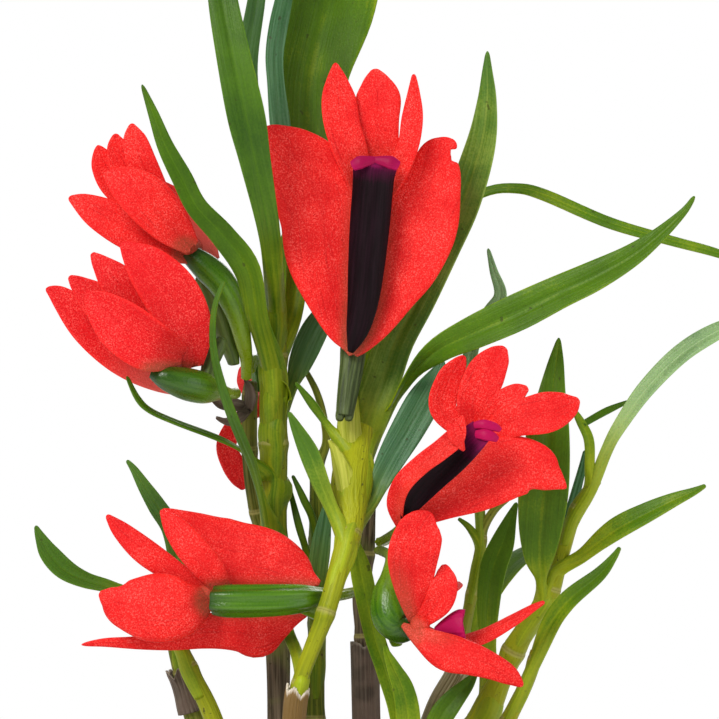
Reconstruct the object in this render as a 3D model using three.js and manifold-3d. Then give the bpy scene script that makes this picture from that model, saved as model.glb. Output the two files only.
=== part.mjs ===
// A flowering dendrobium orchid: a clump of jointed canes with strap leaves and seven scarlet flowers,
// standing in a clay pot of bark. Millimetres, +Z up, origin at the middle of the pot's base.

import * as THREE from 'three';
import { mergeVertices } from 'three/addons/utils/BufferGeometryUtils.js';
import Module from 'manifold-3d';

const wasm = await Module();
wasm.setup();

// Pot and growing medium.
const POT = {
  height: 62, rimRadius: 36, rimDepth: 12, rimStep: 2.4, footRadius: 25, wall: 3.2, floor: 4, sides: 36,
};
const MEDIUM_LEVEL = 54;
const DRAIN = { count: 3, radius: 2.6, ringRadius: 11 };
const BARK = { count: 22, length: 15, width: 8.5, depth: 3.8, seed: 7 };

// Shared by every piece.
const BLADE = 0.6;          // thickness of leaves and petals
const LEAST_WIDTH = 0.45;   // width at a leaf's or petal's sharpest tip
const CLEAR = 0.35;         // gap between a piece and the one it sits in
const PLANTED = -7;         // how far the canes reach below the growing medium's surface
const CANE_SIDES = 7;
const SWELLING = 0.16;      // how much a cane widens at its joints, as a share of its radius
const DEPTH = 1.4;          // how much every row's y is stretched, so that the clump is bushy front to back

// The canes. Heights are above the growing medium. A stem's rows are [x, y, z, radius] from its foot up, and
// rings are the heights of its joints. A leaf's rows are [x, y, z, width] from its base to its tip. A leaf's or
// petal's face is the way its upper side looks, at its base and its tip. fold lifts both edges, as a share of
// the width.
const CANES = {
  tall_cane: {
    colour: 0x548a2e,
    stem: [[-10, 0, PLANTED, 1.7], [-10.3, 0, 12, 1.8], [-10.4, 0, 26.6, 1.6], [-10.5, 0, 38, 1.8],
      [-11.1, 0, 54.6, 1.95], [-11.1, -0.5, 66, 2], [-11.1, -1, 79, 1.9], [-10.8, -1.5, 84, 1.5],
      [-10.6, -2.5, 88, 1.2]],
    rings: [10, 22, 38, 52, 66, 78.5],
    leaves: [
      { name: 'tall_strap', face: [[0.1, -1, 0.1], [-0.1, -1, 0.1]], fold: 0.1,
        rows: [[-10.6, -2.3, 86, 2.8], [-11.1, -7.5, 92, 3], [-11.8, -11, 97.4, 3.3],
        [-13.6, -12.6, 106.5, 4.5], [-14.8, -13, 112.5, 5.4], [-16.3, -12.4, 121, 5.6],
        [-17.7, -11, 129.5, 5.2], [-18.9, -9, 136.5, 3.4], [-19.6, -7.5, 141.5, 0.6]] },
      { name: 'strap_behind', face: [[0.2, -1, 0], [0.1, -1, 0.2]], fold: 0.1,
        rows: [[-10.8, -1.8, 85.6, 2.2], [-11.6, -1.5, 97, 3], [-12.9, -3, 108, 3.8], [-14, -3, 119, 4],
        [-14.1, -2, 129.3, 3.8], [-13.4, 0, 137, 2.4], [-12.6, 1.5, 141.5, 0.6]] },
      { name: 'broad_leaf', face: [[0, -1, 0], [-0.05, -1, 0.25]], fold: 0.12, rows: [[-10, -0.5, 79, 2.4],
        [-8.6, 0, 84, 3], [-7.7, 1.5, 90, 3.3], [-7.3, 4, 97, 5], [-6.9, 6, 104.5, 8], [-6.1, 7.2, 112, 11],
        [-5.2, 8, 119.5, 12.4], [-3.6, 8.4, 129.5, 14.6], [-1.5, 7.6, 140, 13.6], [0.7, 5.6, 149, 8.6],
        [2.4, 3.4, 156, 0.8]] },
      { name: 'left_strap', face: [[-0.3, -1, 0.2], [-0.4, -0.9, 0.5]], fold: 0.12,
        rows: [[-11.8, -2, 77, 2.4], [-13.2, -5.5, 83, 3.4], [-14.6, -8, 90.6, 4], [-17.7, -9.6, 95.7, 3.8],
        [-21.5, -10.5, 99.9, 3.4], [-23.9, -10.6, 103.8, 3], [-26.3, -10.3, 108.4, 2.4],
        [-28, -9.8, 112.9, 1.6], [-29.7, -9.2, 117.2, 0.5]] },
      { name: 'thin_arched', face: [[-0.5, -1, 0], [-0.8, -0.8, 0]], fold: 0, rows: [[-11.6, -0.6, 53, 1.2],
        [-12.8, -3.6, 58, 1.6], [-14, -6, 62.9, 1.8], [-15.4, -8, 66.4, 1.9], [-17, -9.4, 70.4, 1.8],
        [-18.4, -10.4, 74.6, 1.5], [-19.4, -11, 78.9, 1.3], [-19.6, -11.2, 82.9, 1.1],
        [-19.1, -11, 86.4, 0.9], [-17.9, -10.8, 89.3, 0.5]] },
      { name: 'thin_left', face: [[0, -0.6, 1], [-0.2, -0.8, 1]], fold: 0, rows: [[-11.6, -0.6, 62.6, 1.2],
        [-14.6, -3, 64.3, 1.4], [-17.4, -4.6, 66.1, 1.5], [-20.4, -5.6, 67.4, 1.4],
        [-24.9, -6.8, 69.1, 1.2], [-28.6, -7.8, 70.8, 1.1], [-30.4, -8.2, 72.6, 0.9],
        [-31.9, -8.4, 75.7, 0.5]] },
      { name: 'blue_green_leaf', face: [[0.3, -1, 0], [0.2, -1, 0.2]], fold: 0.06,
        rows: [[-10, 0.4, 70, 1.6], [-8.6, 1, 74, 2], [-7.4, 1.8, 77.3, 3.4], [-6, 2.4, 80.7, 4],
        [-4.4, 2.8, 83.8, 3.4], [-2.2, 3, 87.5, 0.6]] },
      { name: 'rear_leaf', face: [[0.2, 0.3, 1], [0, 0.2, 1]], fold: 0.1, rows: [[-11.1, -0.9, 77.5, 2],
        [-9.8, 5.6, 88, 4], [-8, 11.5, 95, 5], [-6.2, 18, 100, 4.4], [-4.6, 24, 102, 2.6],
        [-3.6, 28, 102, 0.6]] },
    ],
  },
  old_flowering_cane: {
    colour: 0x6b6a34,
    stem: [[-8, 6.5, PLANTED, 1.4], [-9.4, 6.6, 12, 1.5], [-10.3, 6.4, 26.6, 1.5], [-10.8, 5.8, 38, 1.4],
      [-12.2, 4.6, 50, 1.2], [-13.9, 3.6, 58, 1.1], [-14.6, 3, 64.3, 1.1], [-14.6, 2.6, 71.7, 1.1],
      [-14.4, 2.4, 75, 0.9]],
    rings: [14, 28, 42, 56, 65, 73],
    leaves: [
      { name: 'old_rear_leaf', face: [[-0.5, 0.4, 0.8], [-0.8, 0.2, 1]], fold: 0.1,
        rows: [[-11, 5.8, 39, 1.8], [-13.4, 9, 44, 3.6], [-16.4, 13, 48.5, 4.2], [-20, 17, 51.4, 3.4],
        [-23.6, 20.4, 52.4, 0.6]] },
    ],
  },
  front_cane: {
    colour: 0x6d9636,
    stem: [[-9, -8, PLANTED, 1.05], [-8.9, -9.6, 12, 1.05], [-8.1, -11, 26.6, 1.05], [-7.1, -12, 32.7, 1.1],
      [-3.6, -12, 41.9, 1.3], [-1.1, -10.2, 50.4, 1.5], [0, -8.8, 54, 1.7], [0, -7.2, 57.6, 2.5],
      [0.1, -5.6, 61, 2.9], [0.8, -4, 65, 2.3], [1.7, -2.8, 68.6, 1.5]],
    rings: [14, 32, 42, 53],
    leaves: [
      { name: 'right_upright', face: [[0.1, -1, 0], [-0.4, -1, 0.2]], fold: 0.14,
        rows: [[1.4, -3, 65.5, 2.6], [3, -1.2, 70.7, 2.8], [4.4, 0, 74.5, 3.3], [6.5, 1, 80.7, 4.1],
        [9.7, 1.6, 86.7, 5], [13.1, 1.2, 94.1, 5.3], [15.9, 0.4, 100, 5.3], [18, -0.6, 106.3, 5],
        [19.1, -1.4, 110.8, 4.2], [19.6, -2, 115.6, 2.9], [19.6, -2.4, 119.4, 1.6],
        [19.6, -2.6, 122.3, 0.5]] },
      { name: 'right_spreading', face: [[0.2, -1, 0.1], [-0.2, -0.9, 0.5]], fold: 0.14,
        rows: [[2.2, -3.4, 65, 1.8], [4.6, -4, 70, 1.7], [6.3, -4.8, 74.6, 2], [10.5, -6, 78, 2.9],
        [14.7, -7.2, 79.6, 4], [18.9, -8.2, 82.3, 5.4], [23.6, -9, 84.9, 5.7], [29.6, -9.6, 87.9, 5.3],
        [34.6, -10, 90.2, 4.9], [39.7, -10.2, 93, 3.7], [43.7, -10.2, 95.9, 2.4], [47.3, -10, 99.2, 1.2],
        [48.9, -10, 101.4, 0.5]] },
      { name: 'dark_glossy_leaf', face: [[0.2, -1, 0.1], [-0.4, -1, 0.1]], fold: 0.1,
        rows: [[1.3, -7.6, 55.6, 1.6], [3, -6.6, 57.9, 2], [4.1, -6, 60.9, 2.7], [5.9, -5, 64.4, 3.7],
        [8.1, -4, 68.2, 4.1], [10.1, -3, 72.1, 4], [11.7, -2, 75.4, 2.6], [12.9, -1.2, 78, 0.5]] },
      { name: 'left_sheath_leaf', face: [[-0.3, -1, 0], [-0.6, -1, 0.2]], fold: 0.08,
        rows: [[-0.9, -9, 52.8, 1.3], [-2.6, -9.4, 56.4, 2.2], [-4.3, -9.6, 60.7, 2.8],
        [-5.8, -9.6, 64.6, 3], [-7.7, -9.4, 68.4, 1.7], [-8.8, -9.2, 70.6, 0.5]] },
      { name: 'narrow_crossing', face: [[-0.4, -1, 0], [-0.4, -1, 0]], fold: 0,
        rows: [[-0.6, -4.6, 65, 1.3], [-2.9, -4.4, 68, 1.4], [-5.6, -4, 71.8, 1.3],
        [-7.9, -3.8, 74.8, 0.5]] },
      { name: 'long_thin', face: [[0, -1, 0.6], [0, -0.6, 1]], fold: 0, rows: [[1.4, -3.2, 65.6, 1.2],
        [3.2, 2, 71.5, 1.3], [6, 6.4, 82, 1.3], [9.6, 7.6, 91, 1.2], [14.2, 8, 99.2, 1.2],
        [19.6, 8, 102.4, 1.2], [24, 7.6, 102.9, 1.2], [28.1, 7, 101.9, 1.2], [37.3, 5.6, 97.9, 1.2],
        [46.1, 4.4, 95.3, 1.1], [52.7, 3.6, 93.5, 1], [57.5, 3, 91.6, 0.5]] },
      { name: 'low_left_leaf', face: [[0, -1, 0], [0, -1, 0]], fold: 0.05, rows: [[-6.7, -11.8, 34, 1.3],
        [-7.8, -7.6, 36.4, 1.8], [-8.9, -4.6, 39, 1.7], [-9, -4, 41.8, 0.5]] },
    ],
  },
  old_green_cane: {
    colour: 0x5f7d33,
    stem: [[-3.4, 5, PLANTED, 1.3], [-4.6, 5, 12, 1.4], [-5.1, 5, 26.6, 1.35], [-5, 5, 40, 1.2],
      [-4.9, 4.8, 54, 1.15], [-4.8, 4.6, 62, 0.9], [-3.6, 4.4, 66, 0.6], [-4, 4.2, 70, 0.55],
      [-5, 4, 73.5, 0.5], [-6.6, 4, 76.6, 0.4]],
    rings: [12, 26, 40, 52, 61],
    leaves: [
      { name: 'glossy_short', face: [[0, -1, 0], [-0.3, -1, 0.2]], fold: 0.1, rows: [[-4.9, 4, 38, 1.4],
        [-4.9, 1.2, 45, 2.7], [-4.3, -0.8, 51, 3], [-3.7, -2, 55, 2], [-3.2, -2.6, 58.5, 0.5]] },
      { name: 'thin_first', face: [[0, -1, 0], [0, -1, 0]], fold: 0, rows: [[-5.2, 4, 46, 1],
        [-6.4, 2, 50.4, 1.1], [-7.6, 1, 54.6, 1.1], [-9.1, 2.7, 60.6, 0.5]] },
      { name: 'thin_second', face: [[0, -1, 0], [0, -1, 0]], fold: 0, rows: [[-4.9, 4, 50, 1],
        [-5.4, 1.6, 54.6, 1.2], [-6.8, 0.6, 58, 1.1], [-8.4, 1, 61.4, 0.5]] },
    ],
  },
  old_brown_cane: {
    colour: 0x6e5a35,
    stem: [[3.4, 2.4, PLANTED, 1.5], [2.6, 2.4, 12, 1.5], [2.2, 2.4, 26.6, 1.4], [2, 2.4, 38, 1.4],
      [1.6, 2.2, 44.5, 1.3], [2.3, 1.8, 51, 1.1], [2.8, 1.4, 57, 0.8]],
    rings: [10, 24, 38, 50],
    leaves: [],
  },
  right_cane: {
    colour: 0x5f8f3c,
    stem: [[7, 4, PLANTED, 1.8], [12.8, 3.4, 13, 2.1], [19.1, 2, 26.6, 2.1], [21.7, 1, 32.4, 1.6],
      [23.7, 0, 36.8, 1.65], [26.3, -0.8, 41.1, 1.3], [28.6, -1.2, 44.6, 1.3], [30.3, -1.6, 50, 1.05],
      [31.8, -1.8, 55, 1], [33, -1.8, 57.4, 1.1], [35.4, -1.8, 61, 0.8]],
    rings: [14, 25, 36, 45, 56.4],
    leaves: [
      { name: 'upright_blade', face: [[0, -1, 0], [0.1, -1, 0.1]], fold: 0.05, rows: [[28, -1.6, 43.8, 1.2],
        [27.3, -3, 46.3, 1.6], [27, -4.2, 49.5, 4.2], [27.1, -4.8, 53.5, 6.1], [27.5, -5.2, 58.7, 7.2],
        [27.9, -5.2, 64.3, 6.9], [28.4, -5, 69.1, 5.6], [28.8, -4.6, 73.4, 3.9], [29.4, -4.2, 77.9, 2.2],
        [29.8, -4, 81.2, 0.5]] },
      { name: 'thin_blue', face: [[0.3, -1, 0], [0.4, -1, 0]], fold: 0, rows: [[28.4, 0, 44.8, 1.2],
        [29.2, 0.8, 48.9, 1.4], [30.8, 1.2, 53.6, 1.5], [32.1, 1, 57.9, 1.5], [33.2, 0.6, 62.1, 1.2],
        [33.7, 0.4, 65, 0.5]] },
      { name: 'short_twisted', face: [[0, -1, 0], [0.3, -1, 0.2]], fold: 0.1, rows: [[35, -2, 60.4, 1.4],
        [34.3, -2.4, 63, 1.5], [34.1, -2.6, 66.6, 1.5], [32.9, -2.6, 69.2, 1.3], [31.6, -2.6, 71.4, 0.5]] },
      { name: 'right_ribbon', face: [[-0.3, -1, 0.1], [-0.5, -0.7, 0.8]], fold: 0.12,
        rows: [[35.2, -2, 60.4, 1.4], [36.6, -2.6, 65, 1.6], [38.9, -3, 69.3, 1.8], [42.6, -3.4, 74, 2.3],
        [47.6, -3.6, 79, 2.6], [52.7, -3.6, 82.3, 2.4], [57.8, -3.4, 84.6, 0.6]] },
      { name: 'short_crossing', face: [[0, -1, 0.4], [0, -1, 0.6]], fold: 0, rows: [[33.3, -2.6, 68.8, 1],
        [36.6, -0.8, 70.6, 1.1], [39.8, -0.4, 72, 0.5]] },
      { name: 'right_outer', face: [[-0.4, -0.9, 0.3], [-0.3, -0.8, 0.6]], fold: 0.12,
        rows: [[30.2, -2, 49, 1.4], [33.2, -3.4, 50.2, 2.4], [37.9, -4.8, 53.7, 3.5], [42.3, -5.8, 56.2, 3],
        [46, -6.2, 58, 2.2], [49, -6.4, 59.3, 1.2], [50.7, -6.4, 60.1, 0.5]] },
      { name: 'rear_broad', face: [[0, -1, 0], [0.1, -1, 0.2]], fold: 0.1, rows: [[20.8, 2.4, 30, 1.6],
        [19.8, 4.2, 36, 2.5], [19.9, 5.2, 42.9, 3.4], [20.6, 5.6, 47.9, 3.9], [21.9, 5.6, 51.4, 3.5],
        [23.1, 5.4, 55, 1.8], [24, 5.2, 57.4, 0.5]] },
    ],
  },
  right_small_cane: {
    colour: 0x5c8c38,
    stem: [[9, -2, PLANTED, 1], [15.6, -3, 13, 1.1], [22.6, -4, 26.6, 1.1], [25.4, -4.4, 32.4, 1],
      [26.6, -4.6, 36.4, 0.9]],
    rings: [12, 26, 35],
    leaves: [
      { name: 'right_lower', face: [[-0.3, -1, 0.2], [-0.4, -0.9, 0.4]], fold: 0.14,
        rows: [[26.2, -4.6, 35, 1.8], [28, -5.4, 39.4, 2.9], [31, -6.4, 43.6, 3], [35.4, -7.2, 47.3, 2.3],
        [37.4, -7.4, 49.7, 1.3], [38.4, -7.4, 51.3, 0.5]] },
    ],
  },
  grey_cane: {
    colour: 0x7f8a52,
    stem: [[4, 6.6, PLANTED, 1.1], [7.6, 7.6, 12, 1.2], [12.2, 8, 26.6, 1], [15.6, 8.2, 33.1, 0.9],
      [16.7, 8.4, 39.6, 0.85], [18.7, 8.6, 50.1, 0.8], [19.2, 8.8, 53.4, 0.7], [21, 8.8, 56.4, 0.6],
      [23.6, 8.6, 58.6, 0.5]],
    rings: [12, 34, 44, 52],
    leaves: [
      { name: 'grey_fork_leaf', face: [[0, -1, 0], [0, -1, 0]], fold: 0, rows: [[19, 8.6, 51.6, 1],
        [17.4, 8.4, 53.4, 1.1], [15.6, 8.2, 55, 0.5]] },
      { name: 'grey_upright', face: [[0, -1, 0], [0.1, -1, 0]], fold: 0.08, rows: [[19, 8.6, 52.4, 1.1],
        [18.6, 9, 58, 1.6], [17.8, 9.4, 66, 2], [17.2, 9.4, 74, 2.1], [17.6, 9, 80, 2.2],
        [20, 8.6, 84.6, 2.2], [21.7, 8.4, 87.4, 1.9], [20.7, 8.2, 91, 1.2], [19.9, 8, 94.2, 0.5]] },
      { name: 'grey_rear_leaf', face: [[0.3, 0.3, 1], [0.5, 0.2, 1]], fold: 0.1,
        rows: [[16.4, 8.8, 36, 1.5], [19, 13, 42, 3.4], [22.6, 18, 47, 3.9], [27, 22.4, 50, 2.9],
        [31, 25.4, 50.5, 0.6]] },
    ],
  },
  left_cane: {
    colour: 0x7c8b3a,
    stem: [[-15, 2, PLANTED, 1.4], [-18.6, 1.8, 13, 1.6], [-22.5, 1.4, 26.6, 1.5], [-23.7, 1.2, 30.4, 1.2],
      [-25.3, 1.2, 35.6, 0.9], [-25.8, 1.2, 38.6, 0.8]],
    rings: [12, 24, 33],
    leaves: [
      { name: 'left_low_leaf', face: [[0.2, -1, 0], [-0.5, -1, 0.3]], fold: 0.12,
        rows: [[-25.6, 1.2, 37, 1.3], [-25.6, 1, 43, 2], [-25, 0.6, 48.6, 2.6], [-25.8, 0.2, 53.6, 2.8],
        [-27.8, 0, 56.9, 2.7], [-29.7, -0.2, 59.9, 2], [-31.1, -0.4, 62.2, 1.2],
        [-32.2, -0.4, 63.6, 0.5]] },
    ],
  },
  left_small_cane: {
    colour: 0x76913a,
    stem: [[-10.6, -3, PLANTED, 1.2], [-15, -3.4, 13, 1.35], [-19.7, -3.6, 26.6, 1.35],
      [-22.4, -3.8, 32.4, 1.2], [-24.2, -3.8, 36.6, 1], [-25.6, -3.6, 40, 0.8]],
    rings: [12, 24, 34],
    leaves: [
      { name: 'left_hooked_leaf', face: [[0, -0.8, 0.8], [-0.3, -0.9, 0.7]], fold: 0.14,
        rows: [[-25.2, -3.6, 38.8, 1.4], [-29.4, -3.6, 43.4, 1.7], [-34.4, -3.8, 45.6, 2],
        [-38, -4, 46.6, 2.3], [-40.9, -4.2, 48.1, 2.7], [-43, -4.2, 50.3, 2.5], [-44.4, -4.2, 52.6, 1.6],
        [-45.1, -4.2, 54.3, 0.5]] },
    ],
  },
  young_shoot: {
    colour: 0x5f9436,
    stem: [[5.6, -8, PLANTED, 1.2], [6, -8, 4, 1.4], [6.6, -8, 10, 1.2], [7, -7.8, 14, 0.9]],
    rings: [5],
    leaves: [
      { name: 'shoot_upright', face: [[0.1, -1, 0], [0.1, -1, 0]], fold: 0.12, rows: [[6.4, -7.6, 8, 1.8],
        [7, -6.8, 18, 2.2], [6.8, -6.2, 26.6, 2.4], [5, -5.4, 33.6, 2.8], [3.5, -4.8, 38.1, 2.9],
        [2.4, -4.4, 43.1, 3.1], [1.4, -4.2, 48, 3], [1, -4.2, 50.6, 1.8], [0.8, -4.2, 52.4, 0.5]] },
      { name: 'shoot_middle', face: [[0, -1, 0], [0.2, -1, 0.1]], fold: 0.1, rows: [[6.8, -8.2, 9, 1.8],
        [8.4, -8.4, 18, 3], [8.2, -8.6, 26.6, 3.5], [7.5, -9, 31, 3.1], [6.2, -9.4, 34, 2.1],
        [5.2, -9.6, 36.2, 1.1], [4.9, -9.6, 37.3, 0.5]] },
      { name: 'shoot_right', face: [[0, -1, 0.2], [0, -1, 0.4]], fold: 0.12, rows: [[7.2, -7.6, 11, 1.8],
        [9.6, -8, 19, 2.8], [12.4, -8.2, 26.2, 3.5], [14.2, -8.2, 29, 3.3], [16.6, -8, 31.7, 2],
        [18, -7.8, 33.5, 0.5]] },
    ],
  },
};

// Papery sheaths: which cane, from and to which height, and how ragged the torn top edge is.
const SHEATHS = {
  front_cane_sheath: { cane: 'front_cane', from: 3.4, to: 31, ragged: 0.9, colour: 0xb09a78 },
  brown_cane_sheath: { cane: 'old_brown_cane', from: 20, to: 36.5, ragged: 1.2, colour: 0xa39a8c },
  left_cane_sheath: { cane: 'left_cane', from: 27.4, to: 32.4, ragged: 0.6, colour: 0xb7a891 },
  grey_cane_sheath: { cane: 'grey_cane', from: 14, to: 33, ragged: 0.8, colour: 0xc4b8a6 },
};

// The flowers. Petals and sepals are blades as the leaves are; cup curls both edges, as a share of the width.
// The lip is a channel, and the ovary with its stalk and the spur are round stems of [x, y, z, radius].
const BLOOMS = {
  bloom_top: {
    heart: [[3.4, -4.4, 102.4, 1.5], [3.5, -6.8, 102.8, 1.5]],
    petals: [
      { name: 'dorsal_sepal', cup: 0.06, face: [[0, -1, 0], [0, -1, 0.3]], rows: [[3.6, -5.8, 102, 3],
        [4, -6.4, 107, 4.7], [3.9, -6.6, 112, 6], [3.9, -6.4, 115.6, 6.4], [3.6, -6, 118.2, 3.6],
        [3.4, -5.8, 119.6, 0.8]] },
      { name: 'left_petal', cup: 0.08, face: [[0.3, -1, 0], [0.4, -1, 0.2]], rows: [[2.8, -6.6, 102.4, 1.8],
        [0.9, -7.6, 107.5, 4], [-0.7, -8, 111.4, 5], [-1.7, -7.8, 115.2, 4.9], [-2.1, -7.4, 118.4, 2.6],
        [-2.2, -7.2, 120.4, 0.6]] },
      { name: 'right_petal', cup: 0.08, face: [[-0.4, -1, 0], [-0.6, -1, 0.2]],
        rows: [[4.6, -6.4, 101, 1.6], [6.8, -7.4, 104.6, 2.6], [8.2, -7.8, 108.6, 3.4],
        [8.8, -7.6, 112.6, 3.5], [9, -7.2, 116.2, 2], [9, -7, 118.8, 0.5]] },
      { name: 'left_sepal', cup: 0, face: [[0.3, -1, 0], [0, -1, 0]], rows: [[0.2, -6, 78.7, 1],
        [-0.2, -6, 80.2, 2.6], [-1.2, -6, 82.7, 5.2], [-2.5, -6.1, 88, 9], [-3.5, -6.2, 93, 11.6],
        [-3.8, -6.2, 98, 12.4], [-4.6, -6, 102, 12.2], [-6.2, -5.8, 105.4, 10.2], [-7.6, -5.8, 108.2, 8.4],
        [-9.4, -5.8, 110.2, 4.6]] },
      { name: 'right_sepal', cup: 0, face: [[-0.3, -1, 0], [0, -1, 0]], rows: [[0.5, -6, 78.7, 1],
        [1.4, -6, 80.2, 3], [3.5, -6, 83.6, 5.6], [5.5, -6.1, 87.9, 8.4], [7.2, -6.2, 91.6, 10.8],
        [8.8, -6.2, 96.1, 12.2], [10.1, -6, 100.3, 11.6], [12, -5.8, 104.4, 7.6], [12.7, -5.8, 107.4, 5.4],
        [13.2, -5.8, 109.2, 2.8]] },
    ],
    lip: { cup: 0.22, face: [[0, -1, 0], [0, -1, 0.3]], rows: [[0.5, -6.8, 79.4, 1.6], [1.6, -7.5, 83.1, 4],
      [2.1, -8.5, 88, 4.8], [2.6, -8.8, 95, 5.5], [3, -9.2, 100.3, 5.9], [3.4, -9.7, 104.4, 5.6],
      [3.4, -10.4, 106.4, 7]] },
    ovary: [[3.2, -2.2, 102.6, 1.5], [3.2, -0.6, 98, 1.9], [3, 0.2, 92, 1.9], [2.4, -0.4, 86, 1.5],
      [1.3, -0.6, 79.6, 0.9], [0.1, -1.8, 74, 0.7], [0.4, -2.6, 69.6, 0.6]],
    spur: [[1.8, -1.8, 86.5, 1.3], [0.7, -3.1, 80.8, 1.75], [0.1, -4.4, 77, 1.7], [-0.4, -5.8, 73.6, 1.5],
      [-0.9, -6.9, 70.6, 1.2], [-1, -7.2, 69.4, 0.8]],
  },
  bloom_upper_left: {
    heart: [[-22.4, -2.4, 94, 1.5], [-23.6, -7, 94.6, 1.5]],
    petals: [
      { name: 'inner_petal', cup: 0.1, face: [[-0.2, -1, 0], [-0.2, -1, 0.1]],
        rows: [[-23.8, -5.2, 94.8, 2], [-26.6, -5.8, 100.2, 3.8], [-29.3, -6.2, 106, 4.6],
        [-30.7, -6, 109.6, 3.6], [-31.2, -5.8, 111.8, 0.6]] },
      { name: 'outer_petal', cup: 0.1, face: [[0.1, -1, 0], [0.2, -1, 0]], rows: [[-24.2, -4.6, 94.6, 2],
        [-28.6, -4.6, 100.4, 4.2], [-31.9, -4.6, 105.4, 4.8], [-33.3, -4.4, 108.4, 3.4],
        [-33.7, -4.2, 110.4, 0.6]] },
      { name: 'dorsal_sepal', cup: 0.12, face: [[0.1, -1, 0.2], [-0.1, -1, 0.2]],
        rows: [[-22.6, -7, 94, 2.6], [-25.6, -8.2, 97.2, 6], [-29, -8.8, 100.8, 7],
        [-32.6, -8.6, 103.4, 4.8], [-35.2, -8, 104.6, 0.6]] },
      { name: 'rear_sepal', cup: 0.06, face: [[0.1, -1, 0.1], [0, -1, 0.1]], rows: [[-19.2, -2.2, 92.4, 1],
        [-21.6, -2.4, 95.6, 4.2], [-24.8, -2.6, 99.4, 5.4], [-28.6, -2.8, 101.4, 5.8],
        [-32.6, -2.8, 103.4, 6.4], [-35.2, -2.8, 106.2, 4.4], [-36.3, -2.8, 108.8, 0.7]] },
      { name: 'front_sepal', cup: 0.1, face: [[0, -1, 0.1], [-0.1, -1, 0.1]],
        rows: [[-22.8, -5.6, 92.8, 2.4], [-27, -6.4, 94.6, 5.2], [-31.4, -6.6, 96.6, 6],
        [-35.6, -6.4, 98.8, 5], [-38.4, -6, 100.4, 3], [-40.3, -5.6, 101.2, 0.6]] },
    ],
    lip: { cup: 0.2, face: [[0, 1, 0], [0, 1, 0]], rows: [[-22.8, -1.85, 93.2, 1.6], [-26.4, -0.4, 96.2, 3],
      [-30.6, 0.6, 99.8, 3.4], [-33.6, 0.4, 102.4, 4]] },
    ovary: [[-21.9, -4.6, 91.8, 1.2], [-20, -4.8, 90.8, 1.8], [-17.8, -4.6, 88.6, 1.95],
      [-15.8, -4, 85, 1.3], [-15, -3, 82, 1], [-14.9, -1.6, 78, 0.8], [-15, -0.4, 75.4, 0.8]],
    spur: [[-20.4, -4.2, 89.6, 1.1], [-18.9, -2.6, 86.2, 1.3], [-17.7, -1.8, 81.4, 1.2],
      [-16.8, -1.6, 78, 0.9], [-16.6, -1.6, 76.9, 0.6]],
  },
  bloom_middle_left: {
    heart: [[-24, -5, 76.8, 1.4], [-24.6, -10, 79.2, 1.5]],
    petals: [
      { name: 'rear_sepal', cup: 0.08, face: [[0, -1, 0], [0.1, -1, 0]], rows: [[-21.6, -4.4, 73.2, 1],
        [-26.6, -5.4, 75.4, 4.4], [-32.2, -6.2, 78.6, 6], [-37.2, -6.8, 83, 6], [-41.4, -6.8, 87, 3.2],
        [-43.5, -6.6, 88.2, 0.6]] },
      { name: 'outer_petal', cup: 0.1, face: [[-0.1, -1, 0], [-0.1, -1, 0]], rows: [[-25.4, -8, 78.4, 2.4],
        [-31, -8.8, 82.4, 5.4], [-36, -9, 86.4, 5.2], [-38.8, -8.8, 88.8, 2.6], [-40.1, -8.6, 89.9, 0.6]] },
      { name: 'inner_petal', cup: 0.1, face: [[0.1, -1, 0], [0, -1, 0]], rows: [[-24.6, -8.6, 79, 2.6],
        [-28.6, -10.2, 84.4, 5.6], [-33, -10.6, 89, 5.2], [-35.6, -10.2, 91.8, 2.6],
        [-36.8, -9.8, 93.2, 0.6]] },
      { name: 'upper_sepal', cup: 0.12, face: [[0.3, -1, 0.1], [0, -1, 0.2]], rows: [[-22.4, -8.4, 77, 3],
        [-22.8, -10.8, 82, 6.8], [-25.4, -11.8, 87, 8.2], [-28.8, -11.8, 91.2, 6.4], [-31.4, -11, 93.6, 3],
        [-32.7, -10.6, 94.5, 0.6]] },
      { name: 'dorsal_sepal', cup: 0.2, face: [[0, -1, -0.2], [-0.1, -1, 0]],
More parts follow.
